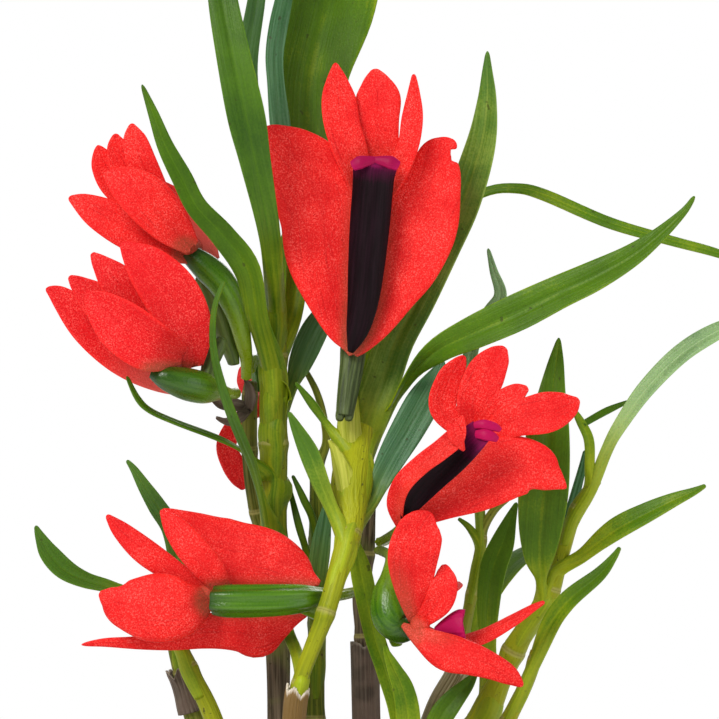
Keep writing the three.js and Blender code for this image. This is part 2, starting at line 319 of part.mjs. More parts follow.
        rows: [[-23.8, -10, 78.6, 2.8], [-27.6, -13.4, 79.6, 7], [-31.8, -13.8, 82.4, 7.6],
        [-35.4, -12.8, 85.6, 4.8], [-37.6, -11.8, 87.8, 0.6]] },
    ],
    lip: { cup: 0.2, face: [[0, 1, 0], [0, 1, 0]], rows: [[-24.6, -4, 78.6, 1.6], [-28.4, -3.4, 81.8, 3],
      [-32.6, -3.4, 85.2, 3.4], [-35.6, -3.8, 87.8, 4]] },
    ovary: [[-28, -11.4, 74.8, 0.5], [-26, -11.2, 74.4, 1.3], [-23.4, -10.2, 74.1, 2.1],
      [-20.9, -8.4, 73.9, 2.1], [-19.2, -6, 73.6, 1.2], [-17.4, -3, 73.2, 0.8], [-16.5, -0.6, 73.2, 0.8]],
    spur: [[-20.6, -7.6, 75, 1], [-20, -6.4, 77.6, 1.2], [-18.9, -6, 79.9, 1.1], [-18.3, -6, 81.2, 0.6]],
  },
  bloom_hidden: {
    heart: [[-12.6, 7, 71.4, 1.5], [-12.6, 9.6, 71.8, 1.6]],
    petals: [
      { name: 'hanging_sepal', cup: 0.1, face: [[-0.2, -1, 0], [-0.2, -1, 0]], rows: [[-12.8, 7.6, 71.4, 2],
        [-16.2, 6.2, 69, 2.8], [-18, 5.6, 65.8, 3], [-17, 5.2, 62.8, 3.4], [-15.9, 5, 60.4, 2.4],
        [-15.6, 4.9, 59.2, 0.6]] },
      { name: 'side_sepal', cup: 0.1, face: [[0.4, 1, 0], [0.3, 1, 0]], rows: [[-12.2, 9, 71, 2],
        [-11.4, 10.6, 67, 3], [-11.2, 11.6, 62.6, 3.2], [-11.4, 12, 58.8, 2.2], [-11.6, 12, 57.4, 0.6]] },
      { name: 'dorsal_sepal', cup: 0.1, face: [[0, 0.4, 1], [0, 0.4, 1]], rows: [[-12.6, 9.4, 72.2, 2.2],
        [-12.8, 12.6, 75, 4.4], [-12.8, 16, 77, 5], [-12.8, 19, 78.2, 3], [-12.8, 20.6, 78.6, 0.6]] },
      { name: 'left_petal', cup: 0.1, face: [[-0.5, 0.5, 1], [-0.6, 0.5, 0.8]],
        rows: [[-13.4, 9.2, 71.6, 1.8], [-14.6, 12, 73.6, 2.8], [-15.4, 15, 75.4, 3],
        [-15.8, 17.6, 76.6, 1.8], [-16, 18.8, 77, 0.6]] },
      { name: 'right_petal', cup: 0.1, face: [[0.5, 0.5, 1], [0.6, 0.5, 0.8]],
        rows: [[-11.8, 9.4, 71.6, 1.8], [-11, 12.2, 73.2, 2.8], [-10.4, 15.2, 74.6, 3],
        [-10.1, 17.8, 75.6, 1.8], [-10, 19, 75.8, 0.6]] },
    ],
    lip: { cup: 0.2, face: [[0, 0.3, 1], [0, 0.3, 1]], rows: [[-12.9, 10.2, 70.4, 1.2],
      [-12.8, 12.4, 70.2, 3], [-12.8, 15, 70, 3.4], [-12.8, 17.4, 70, 4]] },
    ovary: [[-12.9, 6, 73.6, 1.1], [-13.2, 5.4, 76.6, 1.2], [-13.8, 4.4, 78, 0.8], [-14.3, 3.2, 77.2, 0.7],
      [-14.4, 2.6, 76.4, 0.6]],
    spur: [[-13.2, 5.8, 76, 0.9], [-12.6, 7.4, 79, 1], [-12.4, 8.6, 81, 0.7]],
  },
  bloom_lower_left: {
    heart: [[-20.2, -6.4, 44.6, 1.6], [-20.6, -9.8, 44.6, 1.6]],
    petals: [
      { name: 'dorsal_sepal', cup: -0.12, face: [[0, -1, 0], [0, -1, 0]], rows: [[-20, -9.4, 44, 3],
        [-23.4, -10.8, 43, 8.4], [-28.1, -11.2, 42.8, 9.8], [-32.6, -10.6, 43.4, 6.8],
        [-34.8, -9.8, 44.4, 3], [-35.7, -9.4, 44.9, 0.7]] },
      { name: 'left_petal', cup: -0.06, face: [[0.2, -1, 0], [0.1, -1, 0]], rows: [[-20.8, -8.4, 45, 2.2],
        [-25.4, -8.4, 48, 3.4], [-29.4, -8.2, 50.8, 3.8], [-32.8, -7.8, 53.8, 2.6],
        [-34.8, -7.6, 55.9, 0.6]] },
      { name: 'upper_petal', cup: -0.1, face: [[0, -1, 0.1], [0, -1, 0.1]], rows: [[-19.2, -9.8, 45.6, 2.6],
        [-20.8, -11, 48.6, 4.4], [-23.1, -11.6, 51.5, 4.9], [-25.5, -11, 54.4, 3.8],
        [-27, -10.4, 56.8, 0.7]] },
      { name: 'upper_sepal', cup: -0.04, face: [[0, -1, 0.3], [0, -1, 0.2]], rows: [[-4.6, -7.4, 44.6, 1.2],
        [-6, -7.2, 46.4, 5.4], [-8.4, -7, 48, 8.2], [-12, -6.8, 48.9, 10.2], [-16.5, -6.8, 49.8, 10.8],
        [-19.7, -6.8, 50.9, 10.2], [-22.8, -6.8, 53.4, 6.4], [-25.7, -6.8, 56.3, 0.9]] },
      { name: 'lower_sepal', cup: -0.04, face: [[0, -1, -0.3], [0, -1, -0.2]],
        rows: [[-4.8, -7.4, 43.4, 1.2], [-9.4, -7, 41.4, 4.8], [-13.3, -6.8, 39.8, 8.4],
        [-17.6, -6.8, 40, 7.4], [-21.4, -7, 39.8, 6], [-25.6, -7.2, 38.6, 4], [-30, -7.4, 37.7, 2.1],
        [-35, -7.4, 37.7, 1.3], [-38.4, -7.4, 37.4, 0.5]] },
    ],
    lip: { cup: 0.2, face: [[0, 1, 0], [0, 1, 0]], rows: [[-7, -4.6, 43.8, 1.6], [-12, -4.2, 43.8, 3.4],
      [-17, -4.2, 44, 3.8], [-22, -4.2, 44.4, 4], [-25, -3.4, 44.8, 5]] },
    ovary: [[-19, -12, 43.9, 1.5], [-16, -12.4, 43.9, 2.1], [-11, -12, 43.9, 2.1], [-7, -11, 44, 1.7],
      [-4.6, -9.4, 44.2, 1], [-2.4, -8.2, 44.4, 0.8], [-1, -5.6, 44.5, 0.75], [0.2, -1.6, 44.6, 0.7],
      [0.5, 0.3, 44.6, 0.6]],
    spur: [[-8, -10.2, 43.6, 1], [-5, -8.4, 42, 1], [-3.6, -7, 41.4, 0.9], [-2.6, -6.4, 41.2, 0.5]],
  },
  bloom_right: {
    heart: [[17.4, -8.4, 66.8, 1.5], [18.6, -11.8, 67.6, 1.5]],
    petals: [
      { name: 'left_petal', cup: 0.08, face: [[0.2, -1, 0], [0.2, -1, 0]], rows: [[16.8, -9.4, 67, 2],
        [13.2, -9.2, 71, 4], [13.9, -9.2, 75, 3.8], [15.4, -9.2, 77.4, 2.4], [16.2, -9.2, 78.6, 0.6]] },
      { name: 'dorsal_sepal', cup: 0.1, face: [[0.1, -1, 0.1], [0.1, -1, 0.2]],
        rows: [[17.4, -9.8, 68, 2.6], [17.6, -10.6, 72, 5.2], [19.2, -10.8, 76, 5.6],
        [21, -10.4, 78.6, 3.6], [22, -10.2, 79.8, 0.8]] },
      { name: 'right_petal', cup: 0.08, face: [[-0.1, -1, 0.2], [0, -1, 0.3]],
        rows: [[18.6, -10, 68.2, 2.2], [21.2, -11, 71.4, 3.8], [23.6, -11.2, 73.3, 3],
        [25.2, -11, 74, 0.7]] },
      { name: 'front_petal', cup: 0.06, face: [[0, -1, 0.2], [-0.1, -1, 0.2]],
        rows: [[19.2, -10.4, 67.4, 3], [23.6, -12, 69.6, 5], [27.8, -12.4, 70.6, 6], [30.8, -11.8, 71.6, 4],
        [32.4, -11.2, 72.4, 0.7]] },
      { name: 'right_sepal', cup: 0.02, face: [[0.1, -1, 0.1], [-0.1, -1, 0.1]],
        rows: [[7.2, -11.4, 54.4, 1], [9.4, -11.4, 56, 3.6], [13, -11.5, 58.2, 6], [17.5, -11.7, 60.6, 8.6],
        [22, -12, 62.6, 9.8], [26.4, -12.2, 62.8, 8], [29.2, -12, 61.4, 4.2], [30.3, -11.8, 60, 0.8]] },
      { name: 'left_sepal', cup: -0.04, face: [[-0.3, -1, 0.1], [-0.5, -1, 0]],
        rows: [[7.1, -11.6, 54.4, 1], [6.8, -13.4, 57.2, 3], [8.9, -15.4, 60.5, 4.6],
        [12, -16.4, 63.6, 4.8], [14.8, -16.6, 66.8, 4.2], [16.2, -16.2, 70.2, 1.2]] },
    ],
    lip: { cup: 0.22, face: [[-0.1, -1, 0.2], [0, -1, 0.5]], rows: [[8.6, -13, 56.6, 1.6],
      [9.9, -13.4, 58.7, 3], [12.2, -13.8, 60.9, 3.8], [15.4, -14.2, 63.7, 4.6], [17.8, -14.8, 66, 4.9],
      [19.8, -15.6, 68, 5.6]] },
    ovary: [[17.2, -7, 66.4, 1.4], [14.8, -5.4, 63, 1.8], [12, -4.4, 59.6, 1.8], [9.4, -4, 56.4, 1.2],
      [7, -3, 53.6, 0.8], [4.8, 0.2, 52, 0.7], [4, 1.6, 51.8, 0.6]],
    spur: [[12.4, -6, 59, 1.1], [9.6, -7.8, 56, 1.3], [7.6, -8.6, 53.6, 1.2], [6.6, -8.6, 52.2, 0.8]],
  },
  bloom_lower_right: {
    heart: [[9.9, -9.4, 41, 1.5], [9.8, -12.8, 40, 1.4]],
    petals: [
      { name: 'dorsal_sepal', cup: 0.08, face: [[0, -1, 0], [0.1, -1, 0]], rows: [[9.6, -11, 41, 2.8],
        [8.9, -12.4, 45.6, 5.4], [8.8, -13.6, 50, 7], [9.8, -14, 53.4, 6.2], [10.7, -14, 55.4, 3.8],
        [11.1, -13.8, 56.6, 0.9]] },
      { name: 'near_petal', cup: 0.1, face: [[0, -1, 0], [0, -1, 0]], rows: [[10.2, -11.6, 41, 2.2],
        [12.4, -12.6, 43.6, 4], [13.3, -12.8, 46.3, 3.8], [13.3, -12.4, 48.2, 2], [13.2, -12.2, 49, 0.6]] },
      { name: 'near_sepal', cup: -0.08, face: [[0, -1, 0.2], [0, -1, 0.2]], rows: [[7.4, -11.6, 40.4, 0.8],
        [10, -13, 38.8, 3.2], [13.5, -13.8, 36.8, 5.4], [17, -14, 35.8, 4.8], [20.2, -13.8, 34.6, 3.8],
        [22.6, -13.4, 33.3, 2.8], [24.4, -13, 31.8, 0.7]] },
      { name: 'far_sepal', cup: -0.1, face: [[0, -0.6, 1], [0, -0.8, 1]], rows: [[9.9, -9.8, 40.2, 2],
        [14.4, -9, 38, 3.4], [18.7, -8.6, 38.8, 3.4], [23, -8.8, 41, 2.6], [26, -9, 42.8, 1.4],
        [27.6, -9, 43.6, 0.5]] },
      { name: 'far_petal', cup: 0.1, face: [[0, -0.4, 1], [0.1, -0.3, 1]], rows: [[10, -9.6, 41.2, 2],
        [12.2, -6.6, 44, 3.6], [14.2, -3.6, 45.6, 3.6], [15, -1.4, 46, 1.8], [15.4, -0.4, 46, 0.6]] },
    ],
    lip: { cup: 0.2, face: [[0, -0.4, 1], [0.2, -0.3, 1]], rows: [[11.7, -11, 39.6, 2],
      [13.6, -10.8, 39.8, 3.4], [15.6, -10.8, 40.6, 4.2], [16.8, -10.8, 41.8, 4.6]] },
    ovary: [[7.6, -9.6, 39.4, 1.3], [6.1, -9.2, 39.6, 1.9], [4.9, -8.8, 41.4, 2.2], [4.8, -8.4, 44.4, 2.1],
      [5.6, -7.6, 47.3, 1.4], [5.7, -5.4, 49.8, 0.8], [4.4, -1.6, 50.6, 0.7], [3.9, -0.1, 50.6, 0.6]],
    spur: [[6.6, -8, 39.6, 1.2], [6.5, -7.4, 38.2, 1.1], [6.6, -7.2, 37.2, 0.7]],
  },
};

const PETAL_RED = 0xe62a1e;
const LIP_PURPLE = 0x2a0a1c;
const OVARY_GREEN = 0x4d7a33;

// Curves through rows of numbers: every column of the rows follows a Catmull-Rom curve, evenly in t. The
// second column, y, is stretched by DEPTH.
function along(rows, t) {
  const stretch = [1, DEPTH, 1, 1];
  const last = rows.length - 1;
  const place = THREE.MathUtils.clamp(t, 0, 1) * last;
  const i = Math.min(Math.floor(place), last - 1);
  const f = place - i;
  const [before, after] = [rows[Math.max(i - 1, 0)], rows[Math.min(i + 2, last)]];
  const [from, to] = [rows[i], rows[i + 1]];
  return from.map((value, k) => 0.5 * stretch[k] * (2 * value + (to[k] - before[k]) * f
    + (2 * before[k] - 5 * value + 4 * to[k] - after[k]) * f ** 2
    + (3 * value - before[k] - 3 * to[k] + after[k]) * f ** 3));
}

const point = ([x, y, z]) => new THREE.Vector3(x, y, z);

// The direction of travel along the rows at t.
function heading(rows, t) {
  const step = 0.02;
  return point(along(rows, t + step)).sub(point(along(rows, t - step))).normalize();
}

function toGeometry(positions, triangles) {
  const geometry = new THREE.BufferGeometry();
  geometry.setAttribute('position', new THREE.Float32BufferAttribute(positions.flat(), 3));
  geometry.setIndex(triangles.flat());
  return geometry;
}

// A leaf or petal: a band along its rows, with an even thickness. Both faces split into the same triangles.
// profile gives how far the section at v, from -1 to 1 across, stands off along the face, as a share of the
// width.
function blade({ rows, face }, profile, columns, stations) {
  const top = [];
  const bottom = [];
  for (let i = 0; i <= stations; i += 1) {
    const t = i / stations;
    const [x, y, z, width] = along(rows, t);
    const looks = point(face[0]).lerp(point(face[1]), t);
    const across = heading(rows, t).cross(looks).normalize();
    const out = across.clone().cross(heading(rows, t)).normalize();
    for (let j = 0; j < columns; j += 1) {
      const v = (2 * j) / (columns - 1) - 1;
      const middle = new THREE.Vector3(x, y, z)
        .addScaledVector(across, (v * Math.max(width, LEAST_WIDTH)) / 2)
        .addScaledVector(out, profile(v) * width);
      top.push(middle.clone().addScaledVector(out, BLADE / 2).toArray());
      bottom.push(middle.clone().addScaledVector(out, -BLADE / 2).toArray());
    }
  }
  const under = top.length;
  const triangles = [];
  for (let i = 0; i < stations; i += 1) {
    for (let j = 0; j < columns - 1; j += 1) {
      const [a, b] = [i * columns + j, i * columns + j + 1];
      const [c, d] = [b + columns, a + columns];
      triangles.push([a, b, c], [a, c, d]);
      triangles.push([under + a, under + c, under + b], [under + a, under + d, under + c]);
    }
    const [left, right] = [i * columns, (i + 1) * columns - 1];
    wallStrip(triangles, left + columns, left, under);
    wallStrip(triangles, right, right + columns, under);
  }
  const end = stations * columns;
  for (let j = 0; j < columns - 1; j += 1) {
    wallStrip(triangles, j, j + 1, under);
    wallStrip(triangles, end + j + 1, end + j, under);
  }
  return toGeometry([...top, ...bottom], triangles);
}

// One rectangle of a blade's edge: from a to b on the top face, and the same edge on the bottom face.
function wallStrip(triangles, a, b, under) {
  triangles.push([a, under + a, under + b], [a, under + b, b]);
}

// A round stem along rows of [x, y, z, radius], closed at both ends. shape gives the share of the radius at
// an angle and a height.
function stem(rows, sides, ts, shape = () => 1) {
  const positions = [];
  let side = new THREE.Vector3(1, 0, 0);
  for (const t of ts) {
    const [x, y, z, radius] = along(rows, t);
    const forward = heading(rows, t);
    side = side.addScaledVector(forward, -side.dot(forward)).normalize();
    const other = forward.clone().cross(side);
    for (let j = 0; j < sides; j += 1) {
      const angle = (2 * Math.PI * j) / sides;
      const reach = radius * shape(angle, z);
      positions.push(new THREE.Vector3(x, y, z).addScaledVector(side, reach * Math.cos(angle))
        .addScaledVector(other, reach * Math.sin(angle)).toArray());
    }
  }
  const rings = ts.length;
  positions.push(along(rows, ts[0]).slice(0, 3), along(rows, ts[rings - 1]).slice(0, 3));
  const [foot, tip] = [rings * sides, rings * sides + 1];
  const triangles = [];
  for (let j = 0; j < sides; j += 1) {
    const k = (j + 1) % sides;
    for (let i = 0; i < rings - 1; i += 1) {
      const [a, b] = [i * sides + j, i * sides + k];
      triangles.push([a, b, b + sides], [a, b + sides, a + sides]);
    }
    const top = (rings - 1) * sides;
    triangles.push([foot, k, j], [tip, top + j, top + k]);
  }
  return toGeometry(positions, triangles);
}

const evenly = (count) => Array.from({ length: count + 1 }, (_, i) => i / count);

// Where along the rows a stem reaches a height.
function placeOfHeight(rows, height) {
  const halvings = 24;
  let [low, high] = [0, 1];
  for (let i = 0; i < halvings; i += 1) {
    const middle = (low + high) / 2;
    if (along(rows, middle)[2] < height) {
      low = middle;
    } else {
      high = middle;
    }
  }
  return low;
}

// Solids: closed geometry to a manifold, and back.
function solid(geometry) {
  const bare = geometry.index ? geometry : mergeVertices(geometry);
  return new wasm.Manifold(new wasm.Mesh({
    numProp: 3,
    vertProperties: Float32Array.from(bare.attributes.position.array),
    triVerts: Uint32Array.from(bare.index.array),
  }));
}

const bareGeometry = (geometry) => {
  geometry.deleteAttribute('normal');
  geometry.deleteAttribute('uv');
  return mergeVertices(geometry, 1e-4);
};

// The largest body that holds together: a hollow sealed by fusing is filled, and a loose scrap is dropped.
function oneBody(whole) {
  return whole.decompose().reduce((largest, piece) => (piece.volume() > largest.volume() ? piece : largest));
}

function fused(geometries) {
  return oneBody(geometries.map(solid).reduce((whole, piece) => whole.add(piece)));
}

function meshOf(name, body, colour, roughness) {
  const shape = body.getMesh();
  const geometry = new THREE.BufferGeometry();
  geometry.setAttribute('position', new THREE.Float32BufferAttribute(shape.vertProperties, 3));
  geometry.setIndex(Array.from(shape.triVerts));
  geometry.computeVertexNormals();
  const material = new THREE.MeshStandardMaterial({ color: colour, roughness, metalness: 0 });
  const mesh = new THREE.Mesh(geometry, material);
  mesh.name = name;
  return mesh;
}

// A cane: a stem that swells at its joints, with the leaves rising from it.
function caneStem(cane, extra = 0) {
  const reach = 1.1;
  const leastStep = 0.004;
  const places = new Set(evenly(cane.stem.length - 1));
  for (const height of cane.rings) {
    for (const offset of [-reach, 0, reach]) {
      places.add(placeOfHeight(cane.stem, height + offset));
    }
  }
  const nearness = (z) => cane.rings.map((height) => 1 - Math.abs(z - height) / reach);
  const swell = (angle, z) => 1 + SWELLING * Math.max(0, ...nearness(z));
  const rows = cane.stem.map(([x, y, z, radius]) => [x, y, z, radius + extra]);
  const ordered = [...places].sort((a, b) => a - b);
  const spaced = ordered.filter((t, i) => i === 0 || t - ordered[i - 1] > leastStep);
  return stem(rows, CANE_SIDES, spaced, swell);
}

function leafBlade(leaf) {
  return blade(leaf, (v) => leaf.fold * (Math.abs(v) - 0.5), 3, leaf.rows.length - 1);
}

function petalBlade(petal) {
  return blade(petal, (v) => petal.cup * (v * v - 0.4), 4, petal.rows.length - 1);
}

function lipChannel(lip) {
  return blade(lip, (v) => lip.cup * (v * v - 0.4), 5, lip.rows.length + 1);
}

// Ovary with its stalk: six low ridges run along it. The spur hangs from it.
function ovaryWithSpur(bloom) {
  const ridges = (angle) => 1 + 0.1 * Math.cos(6 * angle);
  return fused([stem(bloom.ovary, 12, evenly(bloom.ovary.length), ridges),
    stem(bloom.spur, 7, evenly(bloom.spur.length - 1))]);
}

// The short core that a flower's sepals and petals grow from.
function heart(rows) {
  return stem(rows, 8, evenly(1));
}

// A papery sheath: a thin tube round a cane between two heights, with a torn top edge.
function sheathTube({ cane, from, to, ragged }) {
  const rows = CANES[cane].stem;
  const sides = CANE_SIDES;
  const levels = 4;
  const tube = (extra, low, high) => {
    const wide = rows.map(([x, y, z, radius]) => [x, y, z, radius * (1 + SWELLING) + extra]);
    const [t0, t1] = [placeOfHeight(rows, low), placeOfHeight(rows, high)];
    return stem(wide, sides, evenly(levels).map((t) => THREE.MathUtils.lerp(t0, t1, t)));
  };
  const torn = tube(CLEAR + BLADE, from, to);
  const position = torn.attributes.position;
  for (let j = 0; j < sides; j += 2) {
    const k = levels * sides + j;
    position.setZ(k, position.getZ(k) + ragged * (j % 4 === 0 ? 1 : 2));
  }
  return solid(torn).subtract(solid(tube(CLEAR, from - 3 * ragged, to + 3 * ragged)));
}

// An outline of [radius, height] turned round the z axis.
function turned(outline, sides) {
  const points = outline.map(([r, z]) => new THREE.Vector2(r, z));
  return new THREE.LatheGeometry(points, sides).rotateX(Math.PI / 2);
}

// The pot: a tapered wall with a deep rim band and drain holes in its floor.
function potBody() {
  const { height, rimRadius, rimDepth, rimStep, footRadius, wall, floor, sides } = POT;
  const neck = rimRadius - rimStep;
  const outline = [
    [0, 0], [footRadius, 0], [neck - 1, height - rimDepth], [rimRadius - 0.4, height - rimDepth],
    [rimRadius, height - 1], [rimRadius - 1, height], [rimRadius - wall, height],
    [innerRadius(floor), floor], [0, floor],
  ];
  const body = solid(bareGeometry(turned(outline, sides)));
  const angles = Array.from({ length: DRAIN.count }, (_, i) => (2 * Math.PI * i) / DRAIN.count);
  return angles.reduce((rest, angle) => {
    const drill = new THREE.CylinderGeometry(DRAIN.radius, DRAIN.radius, floor * 3, 10).rotateX(Math.PI / 2)
      .translate(DRAIN.ringRadius * Math.cos(angle), DRAIN.ringRadius * Math.sin(angle), 0);
    return rest.subtract(solid(bareGeometry(drill)));
  }, body);
}

// The pot's inner radius at a height above its base.
function innerRadius(z) {
  const { height, rimRadius, footRadius, wall, floor } = POT;
  const lean = 0.6;
  const foot = footRadius - wall + lean;
  return THREE.MathUtils.lerp(foot, rimRadius - wall, (z - floor) / (height - floor));
}

// The growing medium: a plug that fills the pot, with bark chips on top and a plain hole round each cane.
function mediumBody() {
  const dome = 1.5;
  const chipDepth = -0.9;
  const bottom = POT.floor + CLEAR;
  const top = MEDIUM_LEVEL - dome;
  const outline = [[0, bottom], [innerRadius(bottom) - CLEAR, bottom], [innerRadius(top) - CLEAR, top],
    [0, top + dome]];
  const plug = turned(outline, POT.sides).translate(0, 0, -MEDIUM_LEVEL);
  const random = seeded(BARK.seed);
  const chips = Array.from({ length: BARK.count }, (_, i) => {
    const reach = (innerRadius(top) - BARK.length * 0.6 - 2) * Math.sqrt((i + 0.5) / BARK.count);
    const angle = i * Math.PI * (3 - Math.sqrt(5));
    const scale = 0.7 + 0.5 * random();
    return bareGeometry(new THREE.BoxGeometry(BARK.length * scale, BARK.width * scale, BARK.depth)
      .rotateX((random() - 0.5) * 0.7).rotateY((random() - 0.5) * 0.6).rotateZ(random() * Math.PI)
      .translate(reach * Math.cos(angle), reach * Math.sin(angle), chipDepth));
  });
  const filled = fused([bareGeometry(plug), ...chips]);
  const holes = Object.values(CANES).map((cane) => solid(caneStem(cane, CLEAR)));
  return oneBody(holes.reduce((rest, hole) => rest.subtract(hole), filled));
}

// Evenly spread numbers from 0 to 1 that are the same every time.
function seeded(seed) {
  let state = seed;
  return () => {
    state = (state * 16807) % 2147483647;
    return state / 2147483647;
  };
}

const group = new THREE.Group();
group.add(meshOf('pot', potBody(), 0xb4623c, 0.9));

const plant = new THREE.Group();
plant.position.z = MEDIUM_LEVEL;
group.add(plant);
plant.add(meshOf('growing_medium', mediumBody(), 0x5a4028, 0.95));

for (const [name, cane] of Object.entries(CANES)) {
  plant.add(meshOf(name, fused([caneStem(cane), ...cane.leaves.map(leafBlade)]), cane.colour, 0.5));
}
for (const [name, sheath] of Object.entries(SHEATHS)) {
  plant.add(meshOf(name, sheathTube(sheath), sheath.colour, 0.85));
}
for (const [name, bloom] of Object.entries(BLOOMS)) {
  const perianth = fused([heart(bloom.heart), ...bloom.petals.map(petalBlade)]);
  plant.add(meshOf(`${name}_petals`, perianth, PETAL_RED, 0.45));
  plant.add(meshOf(`${name}_lip`, solid(lipChannel(bloom.lip)), LIP_PURPLE, 0.4));
  plant.add(meshOf(`${name}_ovary`, ovaryWithSpur(bloom), OVARY_GREEN, 0.5));
}

export default group;
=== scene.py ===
# %% [markdown]
# # A dendrobium orchid in flower
# A clump of jointed canes with strap leaves and seven scarlet flowers stands in a clay pot of bark. The
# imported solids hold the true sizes. This lesson gives every leaf, petal and cane a finer surface over its
# solid, worked out with numpy, and then a finish made of shader nodes.

import bpy
import numpy as np
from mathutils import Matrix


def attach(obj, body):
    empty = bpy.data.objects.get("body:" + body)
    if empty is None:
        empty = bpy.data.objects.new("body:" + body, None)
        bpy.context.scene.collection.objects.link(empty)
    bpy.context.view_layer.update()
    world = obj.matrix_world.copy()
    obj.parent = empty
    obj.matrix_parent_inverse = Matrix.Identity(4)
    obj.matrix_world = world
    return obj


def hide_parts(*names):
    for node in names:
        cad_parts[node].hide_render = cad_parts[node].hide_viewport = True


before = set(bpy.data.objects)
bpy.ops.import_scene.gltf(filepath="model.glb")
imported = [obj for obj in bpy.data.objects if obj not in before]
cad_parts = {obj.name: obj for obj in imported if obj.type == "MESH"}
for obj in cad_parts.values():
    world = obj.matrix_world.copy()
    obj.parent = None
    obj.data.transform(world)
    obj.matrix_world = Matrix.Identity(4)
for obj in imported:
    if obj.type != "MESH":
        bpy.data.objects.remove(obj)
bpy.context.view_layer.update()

# %% [markdown]
# ## Camera
# The flower in the middle looks straight at the viewer and nothing shows its top or underside, so the
# camera looks level, from well away. A long lens keeps the near and far leaves in proportion. Its width
# is set in the plane of the front flowers. It takes in the plant alone: the pot stands below the view's
# lower edge.

# %% Set up the camera
MM = 0.001
VIEW_WIDTH = 102.3 * MM
VIEW_CENTRE = (1.25 * MM, 132.07 * MM)
VIEW_PLANE = -13 * MM
DISTANCE = 1.2

camera = bpy.data.objects.new("camera", bpy.data.cameras.new("camera"))
camera.location = (VIEW_CENTRE[0], VIEW_PLANE - DISTANCE, VIEW_CENTRE[1])
camera.rotation_euler = (np.pi / 2, 0, 0)
camera.data.lens = camera.data.sensor_width * DISTANCE / VIEW_WIDTH
camera.data.clip_start = 0.05
bpy.context.scene.collection.objects.link(camera)
bpy.context.scene.camera = camera
print("lens:", round(camera.data.lens), "mm")

# %% [markdown]
# ## Curves through rows
# A leaf is easiest to shape as a few rows along its midrib: where it is, and how wide. A smooth curve
# through the rows then gives as many stations as the surface needs. Blender's own curves could do this,
# but rows in plain numbers can be worked on as arrays. They follow the solids, in millimetres above the
# growing medium, and their front-to-back coordinate is stretched to make the clump bushy.

# %% Curve helpers
MEDIUM_LEVEL = 54
DEPTH = 1.4


def unit(vectors):
    """Vectors divided by their own length."""
    return vectors / np.maximum(np.linalg.norm(vectors, axis=-1, keepdims=True), 1e-9)


def along(rows, t):
    """Points on a Catmull-Rom curve through the rows: each stretch is a cubic whose slope at a row is
    half the step between that row's two neighbours. Columns are x, y, z and a size, and t runs from 0 to
    1."""
    rows = np.asarray(rows, float) * (1, DEPTH, 1, 1)
    last = len(rows) - 1
    place = np.clip(t, 0, 1) * last
    i = np.minimum(place.astype(int), last - 1)
    f = (place - i)[:, None]
    before, start = rows[np.maximum(i - 1, 0)], rows[i]
    end, after = rows[i + 1], rows[np.minimum(i + 2, last)]
    return 0.5 * (2 * start + (end - before) * f + (2 * before - 5 * start + 4 * end - after) * f**2
                  + (3 * start - before - 3 * end + after) * f**3)


def heading(rows, t, step=0.02):
    """Direction of travel: the difference between a point a little ahead and a point a little behind."""
    return unit(along(rows, t + step)[:, :3] - along(rows, t - step)[:, :3])


def travelled(points):
    """Distance along a line of points, from its first point."""
    return np.concatenate([[0], np.cumsum(np.linalg.norm(np.diff(points, axis=0), axis=1))])


bend = along([(0, 0, 0, 1), (5, 0, 8, 2), (0, 0, 16, 1)], np.linspace(0, 1, 50))
print("a bend through three rows is", travelled(bend[:, :3])[-1].round(1), "mm long")

# %% [markdown]
# ## Skins
# A blade, a cane and a chip of bark are all stacks of loops: each loop goes once round the piece, and
# quads join it to the next. Three marks go with every point, for the finishes to read: its place on the
# piece, its grain in millimetres, which lets streaks follow a curved leaf, and its look, such as how pale
# or how blue that leaf is. A thick sheet with modifiers would be quicker to make, but its edge could not
# thin out, wave and carry such marks.

# %% Skin helpers
PLACE, GRAIN, LOOK = 3, 6, 9


def skin(loops, place, grain, look, finish=0, ring=False):
    """Joins a grid of loops, stations by points round, into a closed surface. A ring's last loop joins
    its first, and any other skin gets a fan at each end. If the volume it encloses is negative, every
    face is turned over. A point's columns are x, y, z, then its marks, from columns PLACE, GRAIN and LOOK
    on."""
    stations, around, _ = loops.shape
    here = np.arange(around)
    after = np.roll(here, -1)
    first = np.arange(stations if ring else stations - 1)[:, None] * around
    second = np.roll(np.arange(stations), -1)[: len(first), None] * around
    quads = np.stack([first + here, first + after, second + after, second + here], -1).reshape(-1, 4)
    layers = [np.broadcast_to(layer, loops.shape) for layer in (loops, place, grain, look)]
    columns = np.concatenate(layers, -1)
    points = columns.reshape(-1, LOOK + 3)
    fans = np.empty((0, 3), int)
    if not ring:
        foot, tip, top = len(points), len(points) + 1, (stations - 1) * around
        points = np.concatenate([points, columns[:1].mean(1), columns[-1:].mean(1)])
        fans = np.concatenate([np.stack([after, here, np.full(around, foot)], -1),
                               np.stack([top + here, top + after, np.full(around, tip)], -1)])
    corners = points[:, :3] - points[:, :3].mean(0)
    triangles = np.concatenate([quads[:, [0, 1, 2]], quads[:, [0, 2, 3]], fans])
    a, b, c = (corners[triangles[:, k]] for k in range(3))
    if np.einsum("ij,ij->", a, np.cross(b, c)) < 0:
        quads, fans = quads[:, ::-1], fans[:, ::-1]
    return {"points": points, "quads": quads, "fans": fans, "finish": finish}


